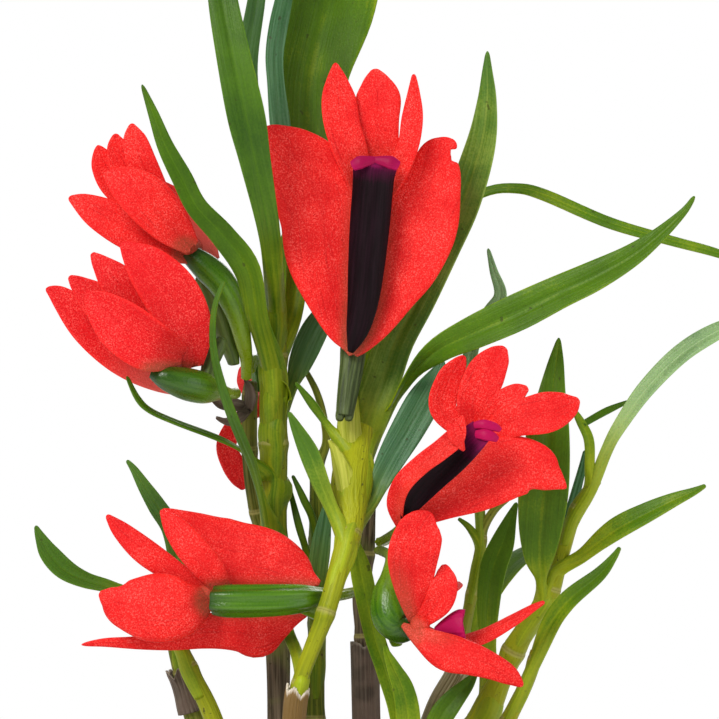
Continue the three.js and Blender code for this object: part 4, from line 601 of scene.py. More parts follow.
CANES = {
    "tall_cane": {
        "stem": [(-10, 0, -7, 1.7), (-10.3, 0, 12, 1.8), (-10.4, 0, 26.6, 1.6), (-10.5, 0, 38, 1.8),
            (-11.1, 0, 54.6, 1.95), (-11.1, -0.5, 66, 2), (-11.1, -1, 79, 1.9), (-10.8, -1.5, 84, 1.5),
            (-10.6, -2.5, 88, 1.2)],
        "joints": [10, 22, 38, 52, 66, 78.5],
        "leaves": {
            "tall_strap": leaf(0.1, (0.1, -1, 0.1), (-0.1, -1, 0.1), [(-10.6, -2.3, 86, 2.8),
                (-11.1, -7.5, 92, 3), (-11.8, -11, 97.4, 3.3), (-13.6, -12.6, 106.5, 4.5),
                (-14.8, -13, 112.5, 5.4), (-16.6, -12.4, 121, 4.9), (-18.2, -11, 129.5, 4.2),
                (-18.9, -9, 136.5, 3.4), (-19.6, -7.5, 141.5, 0.6)]),
            "strap_behind": leaf(0.1, (0.2, -1, 0), (0.1, -1, 0.2), [(-10.8, -1.8, 85.6, 2.2),
                (-11.6, -1.5, 97, 3), (-13.4, -3, 108, 3.2), (-14.9, -3, 119, 3.1),
                (-13.6, -2, 129.3, 2.6), (-12.4, 0, 137, 1.8), (-11.6, 1.5, 141.5, 0.6)]),
            "broad_leaf": leaf(0.12, (0, -1, 0), (-0.05, -1, 0.25), [(-10, -0.5, 79, 2.4),
                (-8.6, 0, 84, 3), (-7.7, 1.5, 90, 3.3), (-7.3, 4, 97, 5), (-6.9, 6, 104.5, 8),
                (-6.4, 7.2, 112, 10.6), (-5.9, 8, 119.5, 11.4), (-3.6, 8.4, 129.5, 14.4),
                (-1.5, 7.6, 140, 13.6), (0.7, 5.6, 149, 8.6), (2.4, 3.4, 156, 0.8)]),
            "broad_leaf_fold": leaf(0.1, (-0.3, -1, 0), (-0.3, -1, 0.2), [(-8.4, 1, 96, 1.6),
                (-9, 3, 104, 2.8), (-10.1, 4.4, 111.5, 3.2), (-10.8, 5, 118, 2.7), (-11, 5.4, 122, 2.8),
                (-10.5, 5.8, 126, 2.9), (-9.6, 6, 130.5, 2.6), (-8.2, 5.6, 137, 1.6), (-7, 5, 142, 0.5)]),
            "left_strap": leaf(0.12, (-0.3, -1, 0.2), (-0.4, -0.9, 0.5), [(-11.8, -2, 77, 2.4),
                (-13.2, -5.5, 83, 3.4), (-14.6, -8, 90.6, 4), (-18, -9.6, 95.5, 3.6),
                (-21.8, -10.5, 99.7, 3.1), (-23.9, -10.6, 103.8, 3), (-26.3, -10.3, 108.4, 2.4),
                (-28, -9.8, 112.9, 1.6), (-29.7, -9.2, 117.2, 0.5)]),
            "thin_arched": leaf(0, (-0.5, -1, 0), (-0.8, -0.8, 0), [(-11.6, -0.6, 53, 1.2),
                (-12.8, -3.6, 58, 1.6), (-14, -6, 62.9, 1.8), (-15.4, -8, 66.4, 1.9),
                (-17, -9.4, 70.4, 1.8), (-18.4, -10.4, 74.6, 1.5), (-19.4, -11, 78.9, 1.3),
                (-19.6, -11.2, 82.9, 1.1), (-19.1, -11, 86.4, 0.9), (-17.9, -10.8, 89.3, 0.5)]),
            "thin_left": leaf(0, (0, -0.6, 1), (-0.2, -0.8, 1), [(-11.6, -0.6, 62.6, 1.2),
                (-14.6, -3, 64.3, 1.4), (-17.4, -4.6, 66.1, 1.5), (-20.4, -5.6, 67.4, 1.4),
                (-24.9, -6.8, 69.1, 1.2), (-28.6, -7.8, 70.8, 1.1), (-30.4, -8.2, 72.6, 0.9),
                (-31.9, -8.4, 75.7, 0.5)]),
            "blue_green_leaf": leaf(0.06, (0.3, -1, 0), (0.2, -1, 0.2), [(-10, 0.4, 70, 1.6),
                (-8.6, 1, 74, 2), (-7.4, 1.8, 77.3, 3.4), (-6, 2.4, 80.7, 4), (-4.4, 2.8, 83.8, 3.4),
                (-2.2, 3, 87.5, 0.6)]),
            "rear_leaf": leaf(0.1, (0.2, 0.3, 1), (0, 0.2, 1), [(-11.1, -0.9, 77.5, 2),
                (-9.8, 5.6, 88, 4), (-8, 11.5, 95, 5), (-6.2, 18, 100, 4.4), (-4.6, 24, 102, 2.6),
                (-3.6, 28, 102, 0.6)]),
        },
    },
    "old_flowering_cane": {
        "stem": [(-8, 6.5, -7, 1.4), (-9.4, 6.6, 12, 1.5), (-10.3, 6.4, 26.6, 1.5), (-10.8, 5.8, 38, 1.4),
            (-12.2, 4.6, 50, 1.2), (-13.9, 3.6, 58, 1.1), (-14.6, 3, 64.3, 1.1), (-14.6, 2.6, 71.7, 1.1),
            (-14.4, 2.4, 75, 0.9)],
        "joints": [14, 28, 42, 56, 65, 73],
        "leaves": {
            "old_rear_leaf": leaf(0.1, (-0.5, 0.4, 0.8), (-0.8, 0.2, 1), [(-11, 5.8, 39, 1.8),
                (-13.4, 9, 44, 3.6), (-16.4, 13, 48.5, 4.2), (-20, 17, 51.4, 3.4),
                (-23.6, 20.4, 52.4, 0.6)]),
        },
    },
    "front_cane": {
        "stem": [(-9, -8, -7, 1.05), (-8.9, -9.6, 12, 1.05), (-8.1, -11, 26.6, 1.05),
            (-7.1, -12, 32.7, 1.1), (-3.6, -12, 41.9, 1.3), (-1.1, -10.2, 50.4, 1.5), (0, -8.8, 54, 1.7),
            (0, -7.2, 57.6, 2.5), (0.1, -5.6, 61, 2.9), (0.8, -4, 65, 2.3), (1.7, -2.8, 68.6, 1.5)],
        "joints": [14, 32, 42, 53],
        "leaves": {
            "right_upright": leaf(0.05, (0, -1, 0), (-0.4, -1, 0.2), [(1.6, -3, 65.5, 4),
                (2.7, -2.2, 70.2, 5.4), (4.3, -1.2, 74.7, 5.6), (6.4, 0, 80.7, 5.4),
                (9.6, 1.2, 86.8, 5.4), (13.1, 1.2, 94.1, 5.4), (15.9, 0.4, 100, 5.3),
                (18, -0.6, 106.3, 5), (19.1, -1.4, 110.8, 4.2), (19.6, -2, 115.6, 2.9),
                (19.6, -2.4, 119.4, 1.6), (19.6, -2.6, 122.3, 0.5)]),
            "right_spreading": leaf(0.14, (0.9, -0.4, 0.1), (-0.3, -0.9, 0.5), [(3.4, -1.6, 65.5, 1.6),
                (5, -1.6, 69.6, 1.9), (7, -2.8, 73.4, 2.2), (9.6, -4.6, 77, 2.9), (13, -6.4, 79.7, 3.8),
                (17.4, -7.8, 81.8, 5), (23.6, -9, 84.6, 5.7), (29.6, -9.6, 87.5, 5.3),
                (34.6, -10, 89.8, 4.9), (39.7, -10.2, 92.6, 3.7), (43.7, -10.2, 95.6, 2.4),
                (47.3, -10, 99, 1.2), (48.9, -10, 101.3, 0.5)]),
            "dark_glossy_leaf": leaf(0.1, (0.2, -1, 0.1), (-0.4, -1, 0.1), [(1.3, -7.6, 55.6, 1.6),
                (3, -6.6, 57.9, 2.2), (4.3, -6, 60.9, 3.2), (6.1, -5, 64.4, 4.3), (8.3, -4, 68.2, 5),
                (10.5, -3, 72.1, 5), (12.2, -2, 75.2, 3.4), (13.3, -1.2, 78, 0.5)]),
            "left_sheath_leaf": leaf(0.08, (-0.3, -1, 0), (-0.6, -1, 0.2), [(-0.9, -9, 52.8, 1.3),
                (-2.6, -9.4, 56.4, 2.2), (-4.3, -9.6, 60.7, 2.8), (-5.8, -9.6, 64.6, 3),
                (-7.7, -9.4, 68.4, 1.7), (-8.8, -9.2, 70.6, 0.5)]),
            "narrow_crossing": leaf(0, (-0.4, -1, 0), (-0.4, -1, 0), [(-0.6, -4.6, 65, 1.3),
                (-2.9, -4.4, 68, 1.4), (-5.6, -4, 71.8, 1.3), (-7.9, -3.8, 74.8, 0.5)]),
            "long_thin": leaf(0, (0, -1, 0.2), (0, -1, 0.6), [(0.9, -3.2, 65.6, 1.8),
                (1.5, -1.4, 71.5, 2.2), (2.7, 1.6, 78, 2.1), (5.4, 5.4, 84.6, 1.8), (9.6, 7.6, 91, 1.5),
                (14.2, 8, 99.2, 1.4), (19.6, 8, 102.4, 1.4), (24, 7.6, 102.9, 1.6), (28.1, 7, 101.9, 1.9),
                (37.3, 5.6, 97.9, 1.9), (46.1, 4.4, 95.3, 1.7), (52.7, 3.6, 93.5, 1.5),
                (57.5, 3, 91.6, 0.8)]),
            "low_left_leaf": leaf(0.05, (0, -1, 0), (0, -1, 0), [(-6.7, -11.8, 34, 1.3),
                (-7.8, -7.6, 36.4, 1.8), (-8.9, -4.6, 39, 1.7), (-9, -4, 41.8, 0.5)]),
        },
    },
    "old_green_cane": {
        "stem": [(-3.4, 5, -7, 1.3), (-4.6, 5, 12, 1.4), (-5.1, 5, 26.6, 1.35), (-5, 5, 40, 1.2),
            (-4.9, 4.8, 54, 1.15), (-4.8, 4.6, 62, 0.9), (-3.6, 4.4, 66, 0.6), (-4, 4.2, 70, 0.55),
            (-5, 4, 73.5, 0.5), (-6.6, 4, 76.6, 0.4)],
        "joints": [12, 26, 40, 52, 61],
        "leaves": {
            "glossy_short": leaf(0.1, (0, -1, 0), (-0.3, -1, 0.2), [(-4.9, 4, 38, 1.4),
                (-4.9, 1.2, 45, 2.7), (-4.3, -0.8, 51, 3), (-3.7, -2, 55, 2), (-3.2, -2.6, 58.5, 0.5)]),
            "thin_first": leaf(0, (0, -1, 0), (0, -1, 0), [(-5.2, 4, 46, 1), (-6.4, 2, 50.4, 1.1),
                (-7.6, 1, 54.6, 1.1), (-9.1, 2.7, 60.6, 0.5)]),
            "thin_second": leaf(0, (0, -1, 0), (0, -1, 0), [(-4.9, 4, 50, 1), (-5.4, 1.6, 54.6, 1.2),
                (-6.8, 0.6, 58, 1.1), (-8.4, 1, 61.4, 0.5)]),
        },
    },
    "old_brown_cane": {
        "stem": [(3.4, 2.4, -7, 1.5), (2.6, 2.4, 12, 1.5), (2.2, 2.4, 26.6, 1.4), (2, 2.4, 38, 1.4),
            (1.6, 2.2, 44.5, 1.3), (2.3, 1.8, 51, 1.1), (2.8, 1.4, 57, 0.8)],
        "joints": [10, 24, 38, 50],
        "leaves": {},
    },
    "right_cane": {
        "stem": [(7, 4, -7, 1.8), (12.8, 3.4, 13, 2.1), (19.1, 2, 26.6, 2.1), (21.7, 1, 32.4, 1.6),
            (23.7, 0, 36.8, 1.65), (26.3, -0.8, 41.1, 1.3), (28.6, -1.2, 44.6, 1.3),
            (30.3, -1.6, 50, 1.05), (31.8, -1.8, 55, 1), (33, -1.8, 57.4, 1.1), (35.4, -1.8, 61, 0.8)],
        "joints": [14, 25, 36, 45, 56.4],
        "leaves": {
            "upright_blade": leaf(0.05, (0, -1, 0), (0.1, -1, 0.1), [(28, -1.6, 43.8, 1.2),
                (27.3, -3, 46.3, 1.6), (27, -4.2, 49.5, 4.2), (27.1, -4.8, 53.5, 6.1),
                (27.5, -5.2, 58.7, 7.2), (27.9, -5.2, 64.3, 6.9), (28.4, -5, 69.1, 5.6),
                (28.8, -4.6, 73.4, 3.9), (29.4, -4.2, 77.9, 2.2), (29.8, -4, 81.2, 0.5)]),
            "thin_blue": leaf(0, (0.3, -1, 0), (0.4, -1, 0), [(28.4, 0, 44.8, 1.2),
                (29.2, 0.8, 48.9, 1.4), (30.8, 1.2, 53.6, 1.5), (32.1, 1, 57.9, 1.5),
                (33.2, 0.6, 62.1, 1.2), (33.7, 0.4, 65, 0.5)]),
            "short_twisted": leaf(0.1, (0, -1, 0), (0.3, -1, 0.2), [(35, -2, 60.4, 1.4),
                (34.3, -2.4, 63, 1.5), (34.1, -2.6, 66.6, 1.5), (32.9, -2.6, 69.2, 1.3),
                (31.6, -2.6, 71.4, 0.5)]),
            "right_ribbon": leaf(0.12, (-0.3, -1, 0.1), (-0.4, -1, 0.5), [(35.2, -2, 60.4, 1.5),
                (36.6, -2.6, 65, 1.9), (38.9, -3, 69, 2.3), (42.4, -3.4, 73.9, 2.8),
                (47.4, -3.6, 78.9, 3), (52.7, -3.6, 82.2, 2.7), (57.8, -3.4, 84.4, 0.8)]),
            "short_crossing": leaf(0, (0, -1, 0.4), (0, -1, 0.6), [(33.3, -2.6, 68.8, 1),
                (36.6, -0.8, 70.6, 1.1), (39.8, -0.4, 72, 0.5)]),
            "right_outer": leaf(0.12, (-0.4, -0.9, 0.3), (-0.3, -0.8, 0.6), [(30.2, -2, 49, 1.4),
                (33.2, -3.4, 50.2, 2.4), (37.9, -4.8, 53.7, 3.6), (42.3, -5.8, 56.1, 3.3),
                (46, -6.2, 57.9, 2.5), (49, -6.4, 59.2, 1.4), (50.7, -6.4, 60.1, 0.5)]),
            "rear_broad": leaf(0.1, (0, -1, 0), (0.1, -1, 0.2), [(20.8, 2.4, 30, 1.6),
                (19.8, 4.2, 36, 2.5), (19.9, 5.2, 42.9, 3.4), (20.6, 5.6, 47.9, 3.9),
                (21.9, 5.6, 51.4, 3.5), (23.1, 5.4, 55, 1.8), (24, 5.2, 57.4, 0.5)]),
        },
    },
    "right_small_cane": {
        "stem": [(9, -2, -7, 1), (15.6, -3, 13, 1.1), (22.6, -4, 26.6, 1.1), (25.4, -4.4, 32.4, 1),
            (26.6, -4.6, 36.4, 0.9)],
        "joints": [12, 26, 35],
        "leaves": {
            "right_lower": leaf(0.14, (-0.3, -1, 0.2), (-0.4, -0.9, 0.4), [(26.2, -4.6, 35, 1.8),
                (28, -5.4, 39.4, 2.9), (31, -6.4, 43.6, 3), (35.4, -7.2, 47.3, 2.3),
                (37.4, -7.4, 49.7, 1.3), (38.4, -7.4, 51.3, 0.5)]),
        },
    },
    "grey_cane": {
        "stem": [(4, 6.6, -7, 1.1), (7.6, 7.6, 12, 1.2), (12.2, 8, 26.6, 1), (15.6, 8.2, 33.1, 0.9),
            (16.7, 8.4, 39.6, 0.85), (18.7, 8.6, 50.1, 0.8), (19.2, 8.8, 53.4, 0.7), (21, 8.8, 56.4, 0.6),
            (23.6, 8.6, 58.6, 0.5)],
        "joints": [12, 34, 44, 52],
        "leaves": {
            "grey_fork_leaf": leaf(0, (0, -1, 0), (0, -1, 0), [(19, 8.6, 51.6, 1), (17.4, 8.4, 53.4, 1.1),
                (15.6, 8.2, 55, 0.5)]),
            "grey_upright": leaf(0.08, (0, -1, 0), (0.1, -1, 0), [(19, 8.6, 52.4, 1.1),
                (18.6, 9, 58, 1.6), (17.8, 9.4, 66, 2), (17.2, 9.4, 74, 2.1), (17.6, 9, 80, 2.2),
                (20, 8.6, 84.6, 2.2), (21.7, 8.4, 87.4, 1.9), (20.7, 8.2, 91, 1.2),
                (19.9, 8, 94.2, 0.5)]),
            "grey_rear_leaf": leaf(0.1, (0.3, 0.3, 1), (0.5, 0.2, 1), [(16.4, 8.8, 36, 1.5),
                (19, 13, 42, 3.4), (22.6, 18, 47, 3.9), (27, 22.4, 50, 2.9), (31, 25.4, 50.5, 0.6)]),
        },
    },
    "left_cane": {
        "stem": [(-15, 2, -7, 1.4), (-18.6, 1.8, 13, 1.6), (-22.5, 1.4, 26.6, 1.5),
            (-23.7, 1.2, 30.4, 1.2), (-25.3, 1.2, 35.6, 0.9), (-25.8, 1.2, 38.6, 0.8)],
        "joints": [12, 24, 33],
        "leaves": {
            "left_low_leaf": leaf(0.12, (0.2, -1, 0), (-0.5, -1, 0.3), [(-25.6, 1.2, 37, 1.3),
                (-25.6, 1, 43, 2), (-25, 0.6, 48.6, 2.6), (-25.8, 0.2, 53.6, 2.8), (-27.8, 0, 56.9, 2.7),
                (-29.7, -0.2, 59.9, 2), (-31.1, -0.4, 62.2, 1.2), (-32.2, -0.4, 63.6, 0.5)]),
        },
    },
    "left_small_cane": {
        "stem": [(-10.6, -3, -7, 1.2), (-15, -3.4, 13, 1.35), (-19.7, -3.6, 26.6, 1.35),
            (-22.4, -3.8, 32.4, 1.2), (-24.2, -3.8, 36.6, 1), (-25.6, -3.6, 40, 0.8)],
        "joints": [12, 24, 34],
        "leaves": {
            "left_hooked_leaf": leaf(0.14, (0, -0.8, 0.8), (-0.3, -0.9, 0.7), [(-25.2, -3.6, 38.8, 1.4),
                (-29.4, -3.6, 43.4, 1.7), (-34.4, -3.8, 45.4, 2.4), (-38, -4, 46.4, 2.9),
                (-40.9, -4.2, 47.9, 3.3), (-43.1, -4.2, 50.2, 2.9), (-44.4, -4.2, 52.6, 1.6),
                (-45.1, -4.2, 54.3, 0.5)]),
        },
    },
    "young_shoot": {
        "stem": [(5.6, -8, -7, 1.2), (6, -8, 4, 1.4), (6.6, -8, 10, 1.2), (7, -7.8, 14, 0.9)],
        "joints": [5],
        "leaves": {
            "shoot_upright": leaf(0.12, (0.1, -1, 0), (0.1, -1, 0), [(6.4, -7.6, 8, 1.8),
                (7, -6.8, 18, 2.2), (6.8, -6.2, 26.6, 2.4), (5, -5.4, 33.6, 2.8), (3.5, -4.8, 38.1, 2.9),
                (2.4, -4.4, 43.1, 3.1), (1.4, -4.2, 48, 3), (1, -4.2, 50.6, 1.8),
                (0.8, -4.2, 52.4, 0.5)]),
            "shoot_middle": leaf(0.1, (0, -1, 0), (0.2, -1, 0.1), [(6.8, -8.2, 9, 1.8),
                (8.4, -8.4, 18, 3), (8.2, -8.6, 26.6, 3.5), (7.5, -9, 31, 3.1), (6.2, -9.4, 34, 2.1),
                (5.2, -9.6, 36.2, 1.1), (4.9, -9.6, 37.3, 0.5)]),
            "shoot_right": leaf(0.12, (0, -1, 0.2), (0, -1, 0.4), [(7.2, -7.6, 11, 1.8),
                (9.6, -8, 19, 2.8), (12.4, -8.2, 26.2, 3.5), (14.2, -8.2, 29, 3.3), (16.6, -8, 31.7, 2),
                (18, -7.8, 33.5, 0.5)]),
        },
    },
}

print("rows along the canes:", sum(len(cane["stem"]) for cane in CANES.values()))

# %% [markdown]
# How yellow and how old each cane is, and how pale and how blue each leaf is, on a scale from 0 to 1. A
# leaf that isn't named is a plain mid green. The paleness of two leaves on the right is partly painted
# light.

# %% Looks of the canes and leaves
CANE_LOOKS = {
    "tall_cane": (0.12, 0.0), "old_flowering_cane": (0.1, 0.45), "front_cane": (0.55, 0.0),
    "old_green_cane": (0.05, 0.2), "old_brown_cane": (0.0, 0.95), "right_cane": (0.5, 0.0),
    "right_small_cane": (0.45, 0.0), "grey_cane": (0.3, 0.3), "left_cane": (0.15, 0.3),
    "left_small_cane": (0.4, 0.0), "young_shoot": (0.5, 0.0),
}
LEAF_LOOKS = {
    "tall_strap": (0.02, 0.05), "strap_behind": (-0.05, 0.3), "broad_leaf": (0.3, 0.0),
    "broad_leaf_fold": (0.1, 0.75), "left_strap": (0.05, 0.0), "thin_arched": (0.05, 0.1),
    "thin_left": (0.05, 0.0), "blue_green_leaf": (0.2, 0.6),
    # right_upright is paler than its own green: partly painted light against the shadow that the top flower
    # casts on it.
    "right_upright": (0.45, 0.22), "right_spreading": (0.24, 0.0), "dark_glossy_leaf": (-0.1, 0.75),
    "left_sheath_leaf": (0.25, 0.1), "long_thin": (0.38, 0.0), "glossy_short": (-0.1, 0.6),
    "upright_blade": (0.25, 0.0), "thin_blue": (0.2, 0.8), "short_twisted": (0.55, 0.0),
    # right_ribbon is partly painted highlight: its pale blue stands in for the light on its waxy face.
    "right_ribbon": (0.75, 0.7), "right_outer": (0.3, 0.0), "right_lower": (0.22, 0.0),
    "rear_broad": (0.15, 0.0), "grey_upright": (0.8, 0.75), "left_low_leaf": (0.1, 0.2),
    "left_hooked_leaf": (0.15, 0.1), "shoot_middle": (0.45, 0.0), "shoot_upright": (0.5, 0.0),
}
LEAF_THICKNESS = 0.5
print("canes:", len(CANES), "leaves:", sum(len(cane["leaves"]) for cane in CANES.values()))

# %% [markdown]
# A cane swells softly at each joint, and a fine groove rings it just above. More rows could draw each
# swelling, but a bell curve in height does it for every joint at once. Old canes also get shallow
# lengthwise ribs as they dry. Two canes change colour towards the foot: FEET gives the height of the
# change, and how yellow and how old the foot is.

# %% Cane skins
FEET = {"tall_cane": (42, 0.0, 0.95), "front_cane": (44, 0.3, 0.0)}


def smooth(value, low, high):
    """0 below low, 1 above high, and 3 s^2 - 2 s^3 between them."""
    s = np.clip((value - low) / (high - low), 0, 1)
    return s * s * (3 - 2 * s)


def cane_skin(name, cane):
    """Radius times 1 + 0.12 exp(-(h - joint)^2) - 0.04 exp(-((h - joint - 0.6) / 0.22)^2), summed over
    the joints, and times 1 + (0.012 + 0.04 * age) * cos(9 angle + 0.4 h) + 0.01 cos(5 angle + 2) for the
    ribs."""
    joints = np.array(cane["joints"], float)
    yellow, age = CANE_LOOKS[name]

    def reach(angle, height):
        gap = height[..., None] - joints
        swell = 0.12 * np.exp(-gap**2) - 0.04 * np.exp(-((gap - 0.6) / 0.22) ** 2)
        ribs = 1 + (0.012 + 0.04 * age) * np.cos(9 * angle + 0.4 * height) + 0.01 * np.cos(5 * angle + 2)
        return (1 + swell.sum(-1)) * ribs

    def look(height):
        line = np.exp(-((height[..., None] - joints - 0.3) / 0.32) ** 2).max(-1)
        top, foot_yellow, foot_age = FEET.get(name, (0, yellow, age))
        foot = 1 - smooth(height, top - 4, top + 4)
        return np.stack([yellow + (foot_yellow - yellow) * foot, age + (foot_age - age) * foot, line], -1)

    return stem(cane["stem"], reach, look, finish=0, stations=330, around=24, rounded=0.012)


# %% [markdown]
# A strap leaf is creased along its midrib, and its base clasps the cane as a half tube. One section does
# both: it changes from a soft V to an arch over the leaf's first rows. A separate sleeve for the base
# would be simpler, but its joint with the blade would show.

# %% Make the canes and leaves
def clasping(spec, cane):
    """The leaf's rows, with three in place of the first, on the side of the cane that its face looks to.
    Each of the three lies at the cane's axis + radius * that direction, and is about as wide as the cane,
    so that the base is a half tube. A leaf that starts above its cane's top grows from another leaf, and
    keeps its own rows."""
    rows = np.array(spec["rows"], float)
    towards = unit(np.array([*spec["face"][0][:2], 0.0]))
    fine = np.array(cane["stem"], float)
    if rows[0, 2] > fine[-1, 2] + 4:
        return rows
    heights = rows[0, 2] - np.array([9, 5, 1])
    axis = np.stack([np.interp(heights, fine[:, 2], fine[:, k]) for k in range(4)], -1)
    radius = axis[:, 3:4] * np.array([[0.8], [1.0], [0.95]])
    axis[:, :3] += towards * (1, 1 / DEPTH, 1) * (radius + 0.1)
    axis[:, 3] = np.maximum(axis[:, 3] * (1.5, 2.1, 2.1), rows[0, 3] * np.array([0.5, 0.9, 1]))
    return np.concatenate([axis, rows[1:]])


def leaf_skin(name, spec, cane, yellow, phase):
    """Section: width * (fold * (sqrt(v^2 + 0.008) - 0.5) - 0.05 exp(-(v / 0.13)^2)), a soft V with a
    groove along the midrib, and edges that wave by 0.035 of the width. Towards the base, clasp goes from
    0 to 1, and the section becomes -0.5 * width * v^2, which wraps it round the cane."""
    rows = clasping(spec, cane)
    steps = len(rows) - 1
    clasps = steps > len(spec["rows"])

    def section(v, t, width):
        clasp = clasps * (1 - smooth(t * steps, 2.0, 3.6))
        groove = spec["fold"] * (np.sqrt(v**2 + 0.008) - 0.5) - 0.05 * np.exp(-(v / 0.13) ** 2)
        wave = 0.035 * np.sin(8 * t + phase + 1.5 * v) * np.abs(v) ** 3
        return width * ((1 - clasp) * (groove + wave) - clasp * 0.5 * v**2)

    def look(t):
        pale, blue = LEAF_LOOKS.get(name, (0.0, 0.0))
        clasp = clasps * (1 - smooth(t * steps, 1.6, 5.0))
        return np.stack([pale + (yellow + 0.3 - pale) * clasp, blue * (1 - clasp), clasp], -1)

    return blade(rows, spec["face"], section, LEAF_THICKNESS, look, finish=1, stations=80, columns=17)


for name, cane in CANES.items():
    yellow = CANE_LOOKS[name][0]
    leaves = [leaf_skin(leaf_name, spec, cane, yellow, phase)
              for phase, (leaf_name, spec) in enumerate(cane["leaves"].items())]
    piece(f"{name}_dressed", [cane_skin(name, cane), *leaves], [CANE, LEAF],
          "old_cane" if CANE_LOOKS[name][1] >= 0.3 else "cane_and_leaf", name)

# %% [markdown]
# ## Papery sheaths
# A leaf's old base stays round the cane as a dry tube. It is thin, wrinkled along its length, torn at the
# top, and stands a little away from the cane there. A Solidify modifier could give one wall its
# thickness. Here the tube is a ring of loops, each up the outside and down the inside, so that the torn
# edge keeps its teeth. SHEATHS gives each one's cane, the heights of its foot and its edge, how ragged
# the edge is, its look, and how far it flares.

# %% Make the sheaths
SHEATHS = {
    "front_cane_sheath": ("front_cane", 3.4, 31, 0.9, (0.9, 0, 0), 0.05),
    "brown_cane_sheath": ("old_brown_cane", 20, 36.8, 0.8, (0, 0, 0.8), 0.12),
    "left_cane_sheath": ("left_cane", 27.4, 32.8, 1.2, (0, 0, 0.7), 0.55),
    "grey_cane_sheath": ("grey_cane", 14, 33, 1.2, (0, 0.15, 0.1), 0.25),
}
SHEATH_WALL = 0.3


def sheath_skin(cane, low, high, ragged, look, flare, seed):
    """At height h, radius = cane's * 1.12 + 0.2 + folds(angle) + flare * s^5 * (1 + 0.5 sin(3 angle)),
    where s runs from 0 at the foot to 1 at the torn edge. The edge is at high + ragged * a jagged
    function of the angle."""
    random = np.random.default_rng(seed)
    angle = np.linspace(0, 2 * np.pi, 72, endpoint=False)[:, None]
    s = np.linspace(0, 1, 26)[None]
    teeth = np.abs(np.sin(2.5 * angle + seed)) + 0.35 * random.random(angle.shape)
    height = low + (high + ragged * (teeth - 0.4) - low) * s
    rows = CANES[cane]["stem"]
    fine = np.linspace(0, 1, 400)
    t = np.interp(height, along(rows, fine)[:, 2], fine).ravel()
    curve, ahead = along(rows, t), heading(rows, t)
    side = unit(np.array([1, 0, 0]) - ahead * ahead[:, :1])
    other = np.cross(ahead, side)
    turn = np.broadcast_to(angle, height.shape).ravel()[:, None]
    outwards = np.cos(turn) * side + np.sin(turn) * other
    bend = turn[:, 0] + 0.35 * np.sin(3 * turn[:, 0] + seed)
    folds = 0.04 * np.sin(7 * bend + 3 * seed) + 0.025 * np.sin(17 * bend + 0.3 * height.ravel())
    lift = flare * np.broadcast_to(s, height.shape).ravel() ** 5 * (1 + 0.5 * np.sin(3 * turn[:, 0] + seed))
    inner = (curve[:, 3] * 1.12 + 0.2 + folds + lift)[:, None]
    shape = (*height.shape, 3)
    outside = (curve[:, :3] + (inner + SHEATH_WALL) * outwards).reshape(shape)
    inside = (curve[:, :3] + inner * outwards).reshape(shape)
    loops = np.concatenate([outside, inside[:, ::-1]], 1)
    loops[..., 2] += MEDIUM_LEVEL
    up = np.concatenate([s, s[:, ::-1]], 1) + 0 * angle
    tall = np.concatenate([height, height[:, ::-1]], 1)
    place = np.stack([np.cos(angle) + 0 * up, up, np.sin(angle) + 0 * up], -1)
    grain = np.stack([2 * np.cos(angle) + 0 * up, 2 * np.sin(angle) + 0 * up, tall], -1)
    return skin(loops, place, grain, np.array(look, float), ring=True)


for seed, (name, numbers) in enumerate(SHEATHS.items()):
    piece(f"{name}_dressed", [sheath_skin(*numbers, seed)], [SHEATH], "dry_sheath", name)

# %% [markdown]
# Where two flowers leave the old cane, the joint still holds a few dry brown scales. The front cane's top
# has two pale flaps: the torn end of its last sheath, and the blade inside it that has not opened. All
# are thin blades, so they need no new shape, only a face at the base and the tip, and rows.

# %% Make the scales
SCALES = [
    ((0.2, -1, 0.3), (0.2, -1, 0.6),
     [(-14.8, 1.2, 70.9, 1.4), (-16.4, 0.2, 71.3, 2.0), (-18.4, 0, 71.4, 1.9), (-20.4, 0.4, 72.6, 0.5)]),
    ((0, -1, -0.4), (0, -1, -0.6),
     [(-14.8, 1.2, 71.2, 1.4), (-16.2, 0.4, 69.9, 1.8), (-17.8, 0.4, 69.3, 1.3), (-19.4, 0.6, 69.8, 0.4)]),
    ((-0.2, -1, 0), (-0.4, -1, 0),
     [(-14.6, 1.0, 71, 1.4), (-14.3, 0.2, 72.8, 1.8), (-14.6, 0, 74.2, 1.3), (-15.2, 0, 75.4, 0.4)]),
]
FLAPS = [
    ((-0.5, -1, 0), (-0.6, -1, 0),
     [(-0.4, -7.6, 55, 1.6), (-1.1, -8.3, 58.6, 3.4), (-1.7, -7.6, 62, 3.2), (-2.5, -7.0, 65, 1.6),
      (-3.2, -6.6, 66.6, 0.4)]),
    ((-0.1, -1, 0), (-0.3, -1, 0),
     [(0.2, -4.6, 60, 3), (-0.1, -5.2, 64, 4.2), (-0.5, -5.2, 68, 3.6), (-0.5, -4.6, 71.5, 3),
      (-0.3, -3.8, 74.6, 2)]),
]
PAPER_THICKNESS = 0.2


def scale_section(v, t, width):
    """A scoop, 0.3 * width * v^2 deep, with a wrinkled edge."""
    return width * (0.3 * v**2 + 0.06 * np.sin(21 * t + 5 * v) * v**2)


def flap_section(v, t, width):
    """Wrapped back round the cane by 0.35 * width * v^2, with fine lengthwise pleats."""
    return width * (-0.35 * v**2 + 0.015 * np.cos(13 * v))


dry = [blade(rows, (base, tip), scale_section, PAPER_THICKNESS, (0, 0, 0.6), stations=30)
       for base, tip, rows in SCALES]
dry += [blade(rows, (base, tip), flap_section, PAPER_THICKNESS, (0, 1, 0), stations=40, columns=21)
        for base, tip, rows in FLAPS]
piece("dry_scales", dry, [SHEATH], "dry_sheath")

# %% [markdown]
# ## Flowers
# A flower has three sepals and two petals round a short heart, a channelled lip, and a ribbed ovary that
# runs on as the stalk, with the spur below it. The two lower sepals are joined to the spur's foot, so
# they are the broad ones. A petal's rows are a leaf's, with a cup, which curls both edges.

